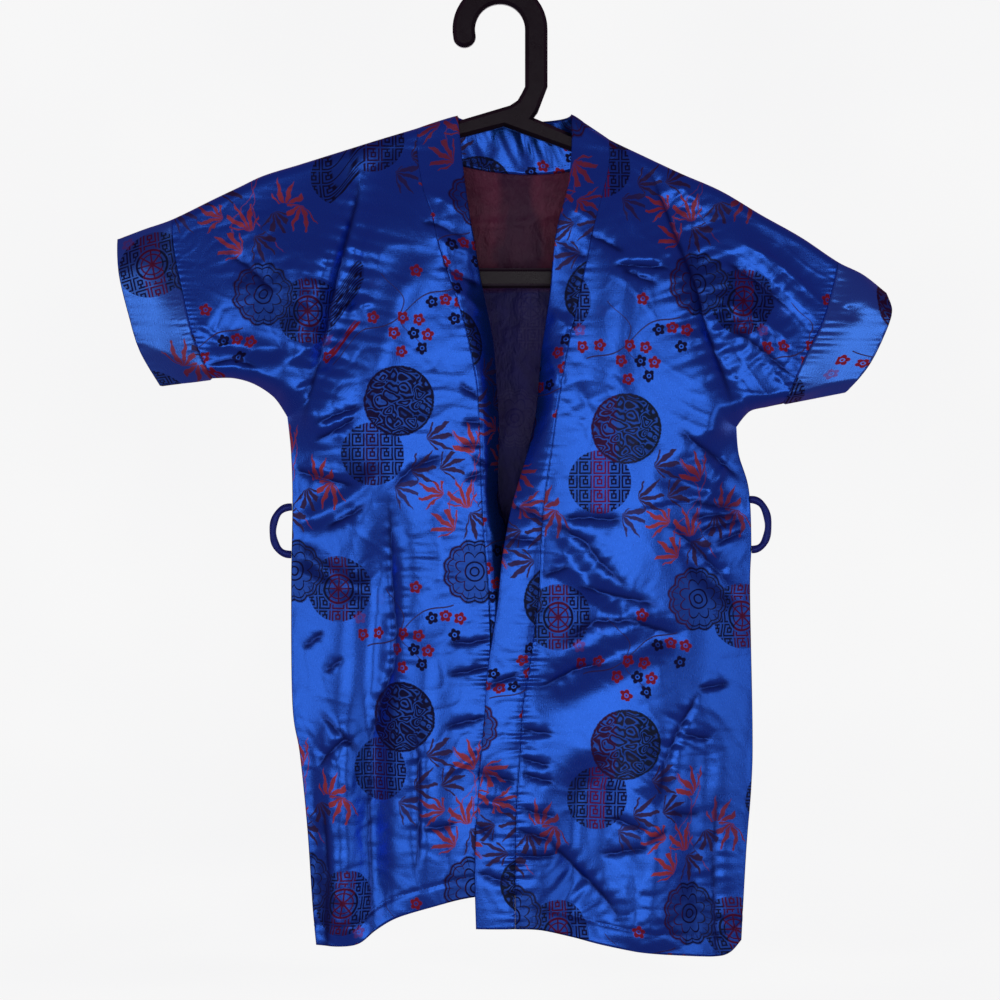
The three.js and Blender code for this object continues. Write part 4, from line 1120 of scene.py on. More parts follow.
@dataclass
class Back:
    """The back with both sleeves, and its neckline."""

    robe: Robe
    drop: float = 29.0
    power: float = 0.8

    def angles(self) -> np.ndarray:
        """The angles round the neckline, in degrees."""
        return np.concatenate([[0, 1, 3, 8, 16], np.linspace(22, 158, 52), [164, 172, 177, 179, 180]])

    def neck_point(self, degrees: np.ndarray) -> np.ndarray:
        """The neckline's (x, z) places at angles round it."""
        left, right = LEFT.band_top("seam"), RIGHT.band_top("seam")
        angle = np.radians(degrees)
        share = (1 - np.cos(angle)) / 2
        fall = self.drop * np.maximum(0, np.sin(angle)) ** self.power
        tops = self.robe.top(np.array([left, right]))
        return np.stack([lerp(left, right, share), lerp(tops[0], tops[1], share) - fall], axis=-1)

    def build(self) -> tuple[Shell, np.ndarray]:
        """Builds the back.

        Returns:
            Its shell, and the points along its neckline.
        """
        robe = self.robe
        step = robe.back_step
        left, right = robe.half_edges(LEFT), robe.half_edges(RIGHT)
        neck_left, neck_right = LEFT.band_top("seam"), RIGHT.band_top("seam")
        width = RIGHT.armhole[0] - LEFT.armhole[0]
        start, end = (neck_left - LEFT.armhole[0]) / width, (neck_right - LEFT.armhole[0]) / width
        count = round(robe.shoulder_run / step)
        round_neck = start + (end - start) * (1 - np.cos(np.radians(self.angles()))) / 2
        columns = np.concatenate([
            np.linspace(0, start, count + 1)[:-1], round_neck, np.linspace(end, 1, count + 1)[1:]])

        def yoke_top(share: np.ndarray) -> np.ndarray:
            share = np.asarray(share, dtype=float)
            cosine = np.clip(1 - 2 * (share - start) / (end - start), -1, 1)
            neck = self.neck_point(np.degrees(np.arccos(cosine)))
            west = robe.top_edge(LEFT.armhole[0], neck_left)(np.minimum(1, share / start))
            east = robe.top_edge(neck_right, RIGHT.armhole[0])(np.clip((share - end) / (1 - end), 0, 1))
            place = np.where((share <= start)[..., None], west, neck)
            return np.where((share >= end)[..., None], east, place)

        even = np.linspace(0, 1, len(columns))
        middle = straight_edge(LEFT.underarm, RIGHT.underarm)
        yoke = patch(yoke_top, middle, left["armhole"], right["armhole"], columns,
                     robe.yoke_rows(step), even)
        skirt = patch(middle, spline_edge(BACK_HEM), left["side"], right["side"], even,
                      robe.skirt_rows(step))
        west = robe.sleeve(LEFT, step)[:, :-1]
        east = robe.sleeve(RIGHT, step)[:, ::-1][:, 1:]
        upper = self.drape(np.concatenate([west, yoke, east], axis=1), None)
        lower = self.drape(skirt, skirt[-1:, :, 1])
        middle_column = west.shape[1] + len(columns) // 2
        grids = [Grid(upper, stretched_flat(upper, middle_column)),
                 Grid(lower, stretched_flat(lower, len(columns) // 2))]
        shell = Shell("brocade_back", grids, robe, 0.5, robe.wall)
        first = west.shape[1] + count
        return shell, upper[0, first:first + len(self.angles())]

    def drape(self, flat: np.ndarray, hem_z: Union[np.ndarray, None]) -> np.ndarray:
        """Lays flat places at the back's depth.

        Args:
            flat: Rows of (x, z) places.
            hem_z: The hem's height under each column, for the grid that ends there.

        Returns:
            Rows of inside points.
        """
        x, z = flat[..., 0], flat[..., 1]
        depth = self.robe.depth(x, z, BACK_FOLDS, BACK_CREASES) + self.robe.seam_gap / 2
        if hem_z is not None:
            depth = depth + hem_relief(z, hem_z)
        return draped(flat, depth, 1)


@dataclass
class Neckband:
    """The folded band, up one front, round the neck and down the other."""

    robe: Robe
    columns: int = 16
    rise: float = 40.0
    turn_power: float = 1.3
    back_depth: float = 16.0
    back_power: float = 0.7
    back_dip: float = 2.5
    full: float = 1.1
    bulge_at: tuple[float, ...] = (-28, -20, -9, -5, -3, 14, 17, 22, 26, 38, 44, 55)
    bulges: tuple[float, ...] = (0.0, -2.6, -2.4, -0.4, 1.1, 0.4, -2.4, -2.4, 0.8, -1.2, 0.9, -0.4)

    def shares(self) -> np.ndarray:
        """Shares across the band."""
        return np.linspace(0, 1, self.columns + 1)

    def front(self, half: Half, edge: np.ndarray) -> np.ndarray:
        """One front stretch of the band.

        Args:
            half: The half that it is sewn to.
            edge: The front's points along the seam.

        Returns:
            Rows of inside points, from the seam to the free edge.
        """
        robe = self.robe
        tops = robe.top(np.array([half.band_top("seam"), half.band_top("free")]))
        free_z = edge[:, 2] + (tops[1] - tops[0]) * (1 - soft((tops[0] - edge[:, 2]) / self.rise))
        t = self.shares()[None, :]
        x = lerp(edge[:, :1], half.band_at("free", edge[:, 2])[:, None], t)
        z = lerp(edge[:, 2:], free_z[:, None], t)
        depth = robe.depth(x, z, FRONT_FOLDS, FRONT_CREASES) + robe.seam_gap / 2
        if half is RIGHT:
            depth = depth + robe.lap_at(x)
        turn = half.band_at("turn", edge[:, 2])[:, None] * t**self.turn_power
        gathers = band_gathers(z, np.abs(x - edge[:, :1]))
        full = self.full * np.sin(np.pi * np.clip(t, 0, 1)) ** 0.6
        hold = 1 - t**6
        depth = lerp(-edge[:, 1:2], depth + gathers + full * soft(t * 6), soft(t * 10)) * hold \
            + (depth + full) * (1 - hold)
        return np.stack([x, turn - depth, z], axis=-1)

    def neck(self, edge: np.ndarray, degrees: np.ndarray) -> np.ndarray:
        """The band behind the neck.

        Args:
            edge: The back's points along the neckline.
            degrees: The angles of these points.

        Returns:
            Rows of inside points, from the seam to the free edge.
        """
        left, right = LEFT.band_top("free"), RIGHT.band_top("free")
        angle = np.radians(degrees)
        share = (1 - np.cos(angle)) / 2
        round_ = np.maximum(0, np.sin(angle))
        tops = self.robe.top(np.array([left, right]))
        free = np.stack([
            lerp(left, right, share),
            self.robe.seam_gap / 2 + self.back_depth * round_**self.back_power,
            lerp(tops[0], tops[1], share) - self.back_dip * round_], axis=1)
        t = self.shares()[None, :, None]
        rows = lerp(edge[:, None, :], free[:, None, :], t)
        x = rows[..., 0]
        crinkle = 0.8 * np.sin(x * 0.52 + rows[..., 2] * 0.22) + 0.4 * np.sin(x * 1.07 - 1.0)
        bulge = np.interp(x, self.bulge_at, self.bulges)
        rows[..., 1] -= (crinkle + bulge) * np.sin(np.pi * t[..., 0]) * round_[:, None]
        return rows

    def build(self, left: np.ndarray, neck: np.ndarray, degrees: np.ndarray,
              right: np.ndarray) -> Shell:
        """Builds the band along the edges that it is sewn to.

        Args:
            left: The left front's edge, from the top down.
            neck: The back's neckline, from left to right.
            degrees: The angles of the neckline's points.
            right: The right front's edge, from the top down.

        Returns:
            The band's shell.
        """
        rows = np.concatenate([self.front(LEFT, left)[::-1], self.neck(neck, degrees),
                               self.front(RIGHT, right)])
        keep = np.ones(len(rows), dtype=bool)
        keep[1:] = np.linalg.norm(rows[1:, 0] - rows[:-1, 0], axis=1) > 1e-4
        rows = eased(rows[keep], self.robe.seam_gap)
        seam = run_along(rows[:, 0])
        across = np.concatenate([np.zeros((len(rows), 1)), np.cumsum(
            np.linalg.norm(np.diff(rows, axis=1), axis=2), axis=1)], axis=1)
        flat = np.stack([across, np.broadcast_to(seam[:, None], across.shape)], axis=-1)
        return Shell("band_strip", [Grid(rows, flat)], self.robe, 0.0, self.robe.wall)


@dataclass
class Cuff:
    """A cuff band: a ring that carries on from the sleeve's end and opens at its edge."""

    half: Half
    robe: Robe
    columns: int = 24
    rise_share: float = 0.25
    rise_power: float = 0.8
    blend: float = 1.6
    lean: float = 0.22
    even: float = 0.3
    flatter: float = 2.4
    lean_from: float = 0.22
    narrow_from: float = 0.5
    fullness: float = 0.45
    width: float = 44.0
    dents: tuple[Crease, ...] = ()

    def ring(self, flat: np.ndarray, t: np.ndarray, v: np.ndarray, facing: int) -> np.ndarray:
        """One side of the ring.

        Args:
            flat: Rows of (x, z) places.
            t: Shares from the seam to the edge.
            v: Shares down.
            facing: -1 at the front and 1 at the back.

        Returns:
            Rows of inside points.
        """
        x, z = flat[..., 0], flat[..., 1]
        folds, creases = (FRONT_FOLDS, FRONT_CREASES) if facing < 0 else (BACK_FOLDS, BACK_CREASES)
        crease = lerp(*self.half.cuff_crease, t)
        narrow = soft((t - self.narrow_from) / (1 - self.narrow_from))
        deep, shallow = self.half.cuff_depth
        if facing < 0:
            middle = (deep + shallow) / 2 - self.flatter
            deep, shallow = middle + self.even, middle - self.even
        full = lerp(deep, shallow, narrow)
        rise = np.sin(np.pi / 2 * np.minimum(1, v / self.rise_share)) ** self.rise_power
        cuff_depth = full * rise * np.minimum(1, (1 - v) / (1 - crease))
        if facing < 0:
            lean = np.clip((v - self.lean_from) / (crease - self.lean_from), 0, 1)
            cuff_depth = cuff_depth * (1 - self.lean * lean)
        seam = np.broadcast_to(flat[:, :1], flat.shape)
        sleeve_depth = self.robe.depth(seam[..., 0], seam[..., 1], folds, creases)
        depth = lerp(sleeve_depth, cuff_depth, soft(t * self.blend))
        inner = np.minimum(1, v * 12) * np.minimum(1, (1 - v) * 12)
        depth = depth + self.fullness * np.sin(np.pi * t) ** 0.7 * inner
        depth = depth + inner * CUFF_SEAM_PUCKERS.lift(z + facing, t * self.width) * soft(t * 8)
        depth = depth + inner * CUFF_EDGE_PUCKERS.lift(z, (1 - t) * self.width)
        if facing < 0:
            depth = depth + inner * sum(dent.lift(x, z) for dent in self.dents)
        return np.stack([x, facing * (np.maximum(0, depth) + self.robe.seam_gap / 2), z], axis=-1)

    def build(self) -> Shell:
        """Builds the cuff."""
        robe, half = self.robe, self.half
        edges = robe.half_edges(half)
        edge_top = half.cuff_edge[0][0]
        top_z = float(robe.top(np.array(edge_top)))
        t = np.linspace(0, 1, self.columns + 1)
        v = robe.yoke_rows(robe.step * 1.6)
        flat = patch(robe.top_edge(half.cuff_seam[0][0], edge_top),
                     straight_edge(half.cuff_seam[-1], half.cuff_edge[-1]), edges["cuff_seam"],
                     spline_edge([(edge_top, top_z), *half.cuff_edge[1:]]), t, v)
        shares = np.broadcast_to(t[None, :], flat.shape[:2]), np.broadcast_to(v[:, None], flat.shape[:2])
        rows = np.concatenate([self.ring(flat, *shares, -1), self.ring(flat, *shares, 1)[::-1]])
        rows = eased(rows, robe.seam_gap)
        rows = np.concatenate([rows, rows[:1]])
        around = run_along(rows[:, self.columns // 3])
        flat_rows = np.stack(np.broadcast_arrays(t[None, :] * self.width, around[:, None]), axis=-1)
        return Shell(f"brocade_cuff_{half.name}", [Grid(rows, flat_rows)], robe, 0.5, robe.wall)


RIGHT_CUFF_DENTS = (
    Crease(((276, -240), (278, -247), (277, -255)), -2.2, 5, 5),
    Crease(((262, -236), (268, -240), (272, -246)), -0.8, 2.5, 2.5),
)
Number = Union["Wire", float]


class Wire:
    """One value in a material's nodes, with arithmetic on it."""

    def __init__(self, shader: "Shader", socket: bpy.types.NodeSocket) -> None:
        """Keeps a node's output."""
        self.shader = shader
        self.socket = socket

    def __add__(self, other: Number) -> "Wire":
        """The sum."""
        return self.shader.math("ADD", self, other)

    __radd__ = __add__

    def __sub__(self, other: Number) -> "Wire":
        """The difference."""
        return self.shader.math("SUBTRACT", self, other)

    def __rsub__(self, other: Number) -> "Wire":
        """The difference from a number."""
        return self.shader.math("SUBTRACT", other, self)

    def __mul__(self, other: Number) -> "Wire":
        """The product."""
        return self.shader.math("MULTIPLY", self, other)

    __rmul__ = __mul__

    def __truediv__(self, other: Number) -> "Wire":
        """The quotient."""
        return self.shader.math("DIVIDE", self, other)

    def __rtruediv__(self, other: Number) -> "Wire":
        """A number over this value."""
        return self.shader.math("DIVIDE", other, self)

    def __neg__(self) -> "Wire":
        """The value with its sign turned."""
        return self * -1.0

    def __abs__(self) -> "Wire":
        """The value without its sign."""
        return self.shader.math("ABSOLUTE", self)

    def least(self, other: Number) -> "Wire":
        """The smaller of two values."""
        return self.shader.math("MINIMUM", self, other)

    def most(self, other: Number) -> "Wire":
        """The larger of two values."""
        return self.shader.math("MAXIMUM", self, other)

    def above(self, other: Number) -> "Wire":
        """1 where the value is larger, else 0."""
        return self.shader.math("GREATER_THAN", self, other)

    def wrapped(self, half: float) -> "Wire":
        """The value brought between -half and half by whole turns."""
        return self.shader.math("WRAP", self, half, -half)

    def sine(self) -> "Wire":
        """Its sine."""
        return self.shader.math("SINE", self)

    def cosine(self) -> "Wire":
        """Its cosine."""
        return self.shader.math("COSINE", self)

    def floor(self) -> "Wire":
        """The whole number below it."""
        return self.shader.math("FLOOR", self)

    def within(self, edge: float, sharp: float = 2.0) -> "Wire":
        """1 where the value is under edge, else 0, with a short ramp between."""
        return self.shader.math("MULTIPLY_ADD", self, -sharp, edge * sharp + 0.5, held=True)


class Shader:
    """The nodes of one material."""

    def __init__(self, name: str) -> None:
        """Makes an empty material."""
        self.material = bpy.data.materials.new(name)
        self.material.use_nodes = True
        self.tree = self.material.node_tree
        self.tree.nodes.clear()

    def node(self, kind: str, settings: Union[dict, None] = None,
             inputs: Union[dict, None] = None) -> bpy.types.Node:
        """Adds a node.

        Args:
            kind: The node's type.
            settings: Its properties, set first.
            inputs: Its inputs by name or number: wires, sockets or constants.

        Returns:
            The node.
        """
        made = self.tree.nodes.new(kind)
        for name, value in (settings or {}).items():
            setattr(made, name, value)
        for key, value in (inputs or {}).items():
            self.feed(made.inputs[key], value)
        return made

    def feed(self, socket: bpy.types.NodeSocket, value: object) -> None:
        """Links or sets one input."""
        if isinstance(value, Wire):
            self.tree.links.new(value.socket, socket)
        elif isinstance(value, bpy.types.NodeSocket):
            self.tree.links.new(value, socket)
        else:
            socket.default_value = value

    def math(self, operation: str, *values: Number, held: bool = False) -> Wire:
        """One step of arithmetic."""
        settings = {"operation": operation, "use_clamp": held}
        return Wire(self, self.node("ShaderNodeMath", settings, dict(enumerate(values))).outputs[0])

    def blend(self, share: Number, low: object, high: object) -> bpy.types.NodeSocket:
        """A colour between two colours."""
        settings = {"data_type": "RGBA", "clamp_factor": True}
        return self.node("ShaderNodeMix", settings, {0: share, 6: low, 7: high}).outputs[2]

    def between(self, share: Number, low: Number, high: Number) -> Wire:
        """A value between two values."""
        settings = {"data_type": "FLOAT", "clamp_factor": True}
        return Wire(self, self.node("ShaderNodeMix", settings, {0: share, 2: low, 3: high}).outputs[0])

    def flat(self) -> tuple[Wire, Wire]:
        """The place in the flat cut, in millimetres."""
        x, z, _ = self.parts(self.node("ShaderNodeUVMap", {"uv_map": "flat"}).outputs[0])
        return x / MM, z / MM

    def place(self) -> bpy.types.NodeSocket:
        """The place on the object, in metres."""
        return self.node("ShaderNodeTexCoord").outputs["Object"]

    def parts(self, vector: object) -> tuple[Wire, Wire, Wire]:
        """A vector's three values."""
        split = self.node("ShaderNodeSeparateXYZ", None, {0: vector})
        return tuple(Wire(self, output) for output in split.outputs)

    def vector(self, x: Number, y: Number, z: Number = 0.0) -> bpy.types.NodeSocket:
        """A vector of three values."""
        return self.node("ShaderNodeCombineXYZ", None, {0: x, 1: y, 2: z}).outputs[0]

    def noise(self, place: object, scale: float, detail: float = 2.0, rough: float = 0.5) -> Wire:
        """Soft noise between 0 and 1."""
        inputs = {"Vector": place, "Scale": scale, "Detail": detail, "Roughness": rough}
        return Wire(self, self.node("ShaderNodeTexNoise", None, inputs).outputs[0])

    def cells(self, place: object, scale: float) -> Wire:
        """The distance to the nearest of scattered points."""
        inputs = {"Vector": place, "Scale": scale, "Randomness": 0.7}
        return Wire(self, self.node("ShaderNodeTexVoronoi", None, inputs).outputs[0])

    def stops(self, share: Wire, colours: Sequence[tuple[float, "Colour"]]) -> bpy.types.NodeSocket:
        """A colour in steps: each colour from its place up to the next one's."""
        ramp = self.node("ShaderNodeValToRGB", None, {0: share})
        ramp.color_ramp.interpolation = "CONSTANT"
        elements = ramp.color_ramp.elements
        while len(elements) < len(colours):
            elements.new(1.0)
        for element, (place, shade) in zip(elements, colours):
            element.position = place
            element.color = shade
        return ramp.outputs[0]

    def bump(self, height: Wire, strength: float, distance: float) -> bpy.types.NodeSocket:
        """A normal raised by a height."""
        inputs = {"Strength": strength, "Distance": distance, "Height": height}
        return self.node("ShaderNodeBump", None, inputs).outputs[0]

    def surface(self, **inputs: object) -> bpy.types.Material:
        """Ends the nodes with a surface of the given inputs, with _ for spaces."""
        named = {key.replace("_", " "): value for key, value in inputs.items()}
        end = self.node("ShaderNodeBsdfPrincipled", None, named)
        output = self.node("ShaderNodeOutputMaterial")
        self.tree.links.new(end.outputs[0], output.inputs[0])
        return self.material


def largest(wires: Sequence[Wire]) -> Wire:
    """The largest of several values."""
    first, *others = wires
    for other in others:
        first = first.most(other)
    return first


def colour(red: int, green: int, blue: int) -> tuple[float, float, float, float]:
    """A colour from its values on a screen, 0 to 255."""
    def linear(value: int) -> float:
        share = value / 255
        return share / 12.92 if share <= 0.04045 else ((share + 0.055) / 1.055) ** 2.4
    return linear(red), linear(green), linear(blue), 1.0


class Motif(Enum):
    """The discs of the weave."""

    CLOUD = "cloud"
    FRET = "fret"
    LOTUS = "lotus"
    WHEEL = "wheel"


# Colours of the yarns, as they look on the cloth
SATIN_BLUE = colour(44, 110, 230)
# A brighter copy of the satin's blue for the cuffs: painted light
LIT_CUFF_BLUE = colour(66, 132, 240)
NAVY_YARN = colour(10, 14, 66)
# Not a yarn: painted shade for the creases' bottoms
CREASE_SHADE_BLUE = colour(16, 32, 104)
RED_YARN = colour(206, 82, 62)
ROSE_YARN = colour(158, 34, 56)
BROWN_YARN = colour(70, 50, 82)
GREY_YARN = colour(52, 62, 84)
GREEN_YARN = colour(24, 48, 62)
PLUM_YARN = colour(92, 36, 74)
PINK_YARN = colour(176, 36, 96)
Colour = tuple[float, float, float, float]


@dataclass(frozen=True)
class Disc:
    """One disc of the weave, with its yarns from left to right."""

    motif: Motif
    x: float
    z: float
    radius: float
    yarns: tuple[Colour, Colour, Colour]
    ground: float


@dataclass(frozen=True)
class Scatter:
    """A patch of the weave in which small motifs are strewn in staggered cells."""

    x: float
    z: float
    across: float
    up: float
    cell: float
    size: float
    few: float


CLOUD_DISCS = (
    Disc(Motif.CLOUD, 0, 0, 28, (PLUM_YARN, GREY_YARN, GREEN_YARN), 0.5),
    Disc(Motif.FRET, -21, -42, 25, (GREEN_YARN, PINK_YARN, NAVY_YARN), 0.3),
)
LOTUS_DISCS = (
    Disc(Motif.LOTUS, 0, 0, 26, (PLUM_YARN, NAVY_YARN, GREY_YARN), 0.42),
    Disc(Motif.WHEEL, 38, -14, 26, (GREEN_YARN, ROSE_YARN, NAVY_YARN), 0.36),
)
REVERSED_DISCS = (
    Disc(Motif.WHEEL, 25, -240, 13, (NAVY_YARN,) * 3, 0.4),
    Disc(Motif.FRET, 27, -263, 13, (NAVY_YARN,) * 3, 0.4),
    Disc(Motif.LOTUS, 12, -330, 24, (NAVY_YARN,) * 3, 0.4),
)
YARN_STARTS = (0.0, 0.36, 0.66)
BRANCH = Scatter(6, 72, 44, 36, 12.5, 5.4, 0.42)
BAMBOO = Scatter(-8, 72, 46, 48, 23.0, 25.0, 0.04)


@dataclass(frozen=True)
class Weave:
    """The brocade's motifs over the flat cut."""

    width: float = 152.0
    height: float = 250.0
    cloud_x: float = -80.0
    cloud_z: float = -318.0
    lotus_x: float = -20.0
    lotus_z: float = -453.0
    shift_x: float = 0.0
    shift_z: float = 0.0
    line: float = 0.62

    def local(self, x: Wire, z: Wire, at_x: float, at_z: float) -> tuple[Wire, Wire]:
        """The place in one group's repeat, from the group's middle."""
        return ((x - (at_x + self.shift_x)).wrapped(self.width / 2),
                (z - (at_z + self.shift_z)).wrapped(self.height / 2))

    def polar(self, shader: Shader, x: Wire, z: Wire) -> tuple[Wire, Wire]:
        """The distance from the middle, and the angle."""
        length = shader.node("ShaderNodeVectorMath", {"operation": "LENGTH"}, {0: shader.vector(x, z)})
        return Wire(shader, length.outputs[1]), shader.math("ARCTAN2", x, z)

    def disc(self, shader: Shader, made: Disc, x: Wire, z: Wire) -> tuple[Wire, Wire]:
        """One disc.

        Args:
            shader: The material.
            made: The disc.
            x: Places across, from the group's middle.
            z: Places in height.

        Returns:
            Where it covers the ground, and where its lines are.
        """
        dx, dz = x - made.x, z - made.z
        away, angle = self.polar(shader, dx, dz)
        if made.motif is Motif.CLOUD:
            return away.within(made.radius), self.scrolls(shader, dx, dz, away, made.radius)
        if made.motif is Motif.FRET:
            return away.within(made.radius), self.frets(dx, dz)
        if made.motif is Motif.LOTUS:
            edge = away - abs((angle * 6.0).sine()) * 2.2
            return edge.within(made.radius - 2.0), self.petals(edge, away, angle, made.radius)
        return away.within(made.radius), self.wheel(dx, dz, away, angle)

    def scrolls(self, shader: Shader, x: Wire, z: Wire, away: Wire, radius: float) -> Wire:
        """Rings round scattered middles, as cloud scrolls are drawn."""
        drift = shader.noise(shader.vector(x / 13.0, z / 13.0), 1.0, 1.0) * 1.6
        rings = shader.cells(shader.vector(x / 13.0 + drift, z / 9.5 - drift, 3.7), 1.0) * 4.6
        lines = abs(rings.wrapped(0.5)).within(0.29, 7.0)
        return lines.most(abs(away - (radius - 1.2)).within(self.line))

    def frets(self, x: Wire, z: Wire) -> Wire:
        """Square key frets in rows, each open at one side."""
        cx, cz = x.wrapped(5.6), z.wrapped(5.6)
        ring = abs(cx).most(abs(cz))
        outer = abs(ring - 4.4).within(self.line)
        inner = abs(ring - 1.6).within(self.line)
        gate = abs(cx - 2.9).within(0.9) * cz.above(0.0)
        stem = abs(cx).within(self.line) * abs(cz - 3.0).within(1.3)
        return (outer * (1.0 - gate)).most(inner).most(stem)

    def petals(self, edge: Wire, away: Wire, angle: Wire, radius: float) -> Wire:
        """Two rings of petals and a seed head."""
        outer = abs(edge - (radius - 3.4)).within(self.line)
        inner = abs(edge - (radius - 6.2)).within(self.line * 0.8)
        lobes = abs((angle * 4.0).sine()) * 5.0
        middle = abs(away - lobes - 11.0).within(self.line)
        veins = (abs((angle * 12.0).sine()) * away * 0.2).within(0.5) * (away - 17.0).above(0.0)
        heart = abs(away - 7.4).within(self.line).most(abs(away - 3.4).within(self.line))
        return outer.most(middle).most(heart).most(inner).most(veins)

    def wheel(self, x: Wire, z: Wire, away: Wire, angle: Wire) -> Wire:
        """A spoked wheel before a ground of frets."""
        rims = abs(away - 11.4).within(0.9).most(abs(away - 8.0).within(0.55))
        spokes = (abs((angle * 4.0).sine()) * away * 0.25).within(0.6) * away.within(11.0)
        ground = self.frets(x, z) * (away - 13.4).above(0.0)
        return rims.most(spokes).most(ground)

    def scattered(self, shader: Shader, made: Scatter, x: Wire, z: Wire
                  ) -> tuple[Wire, Wire, Wire, Wire, Wire, Wire]:
        """The cell of a scattered motif.

        Args:
            shader: The material.
            made: The patch.
            x: Places across, from the group's middle.
            z: Places in height.

        Returns:
            The place in the cell, the distance and angle from its middle, a chance value for
            the cell, and where the patch lies.
        """
        dx, dz = x - made.x, z - made.z
        row = (dz / made.cell).floor()
        moved = dx + row * (made.cell * 0.43)
        column = (moved / made.cell).floor()
        inputs = {"Vector": shader.vector(column, row, made.cell)}
        chance = shader.node("ShaderNodeTexWhiteNoise", {"noise_dimensions": "3D"}, inputs)
        first, second, third = shader.parts(chance.outputs["Color"])
        room = made.cell * 0.42
        cx = moved - (column + 0.5) * made.cell - (first - 0.5) * room
        cz = dz - (row + 0.5) * made.cell - (second - 0.5) * room
        away, angle = self.polar(shader, cx, cz)
        middle_x, middle_z = dx - cx, dz - cz
        inside = (abs(middle_x) / made.across + abs(middle_z) / made.up).within(1.15, 40.0)
        kept = inside * third.above(made.few)
        return cx, cz, away, angle, first, kept

    def leaves(self, shader: Shader, x: Wire, z: Wire) -> tuple[Wire, Wire]:
        """Fans of narrow bamboo leaves on thin stems.

        Args:
            shader: The material.
            x: Places across, from the group's middle.
            z: Places in height.

        Returns:
            Where the leaves are, and a chance value for their yarn.
        """
        inputs = {"Vector": shader.vector(x / 9.0, z / 9.0), "Scale": 1.0}
        drift = shader.node("ShaderNodeTexNoise", None, inputs).outputs["Color"]
        aside, up, _ = shader.parts(drift)
        x, z = x + (aside - 0.5) * 7.0, z + (up - 0.5) * 7.0
        cx, cz, _, _, chance, kept = self.scattered(shader, BAMBOO, x, z)
        points = (chance - 0.5) * 6.0
        half = BAMBOO.size * 0.45
        away, angle = self.polar(shader, cx + points.sine() * half, cz + points.cosine() * half)
        turned = (angle - points).wrapped(math.pi)
        leaf = abs(turned.wrapped(0.27)) * away
        belly = (away * (math.pi / BAMBOO.size)).sine() * 1.75
        fan = (leaf - belly).within(0.0, 1.8) * abs(turned).within(1.05, 30.0)
        fan = fan * away.within(BAMBOO.size) * kept
        dx, dz = x - BAMBOO.x, z - BAMBOO.z
        curve = dx - dz * 0.3 - (dz * 0.09).sine() * 6.0
        other = dx + dz * 0.35 - (dz * 0.11).sine() * 5.0 - 8.0
        stem = abs(curve).least(abs(other)).within(0.35) * abs(dz).within(BAMBOO.up * 0.8)
        return fan.most(stem * 0.8), chance

    def blossoms(self, shader: Shader, x: Wire, z: Wire) -> tuple[Wire, Wire, Wire]:
        """Plum blossoms along twigs.

        Args:
            shader: The material.
            x: Places across, from the group's middle.
            z: Places in height.

        Returns:
            Where the petals are, a chance value for their yarn, and where the twigs are.
        """
        cx, cz, away, angle, chance, kept = self.scattered(shader, BRANCH, x, z)
        lobes = abs((angle * 2.5 + chance * 3.0).sine()) * (BRANCH.size * 0.34)
        whole = (away - lobes).within(BRANCH.size * 0.62, 1.5)
        ring = abs(away - BRANCH.size * 0.26).within(0.45)
        petals = whole * (1.0 - ring) * kept
        dx, dz = x - BRANCH.x, z - BRANCH.z
        curve = dz - dx * 0.55 - (dx * 0.12).sine() * 4.0
        twig = abs(curve).within(0.55) * abs(dx).within(BRANCH.across * 0.85)
        fork = abs(dx + dz * 0.4 - (dz * 0.16).sine() * 5.0 + 4.0).within(0.4)
        twig = twig.most(fork * abs(dz).within(BRANCH.up * 0.8))
        return petals, chance, twig


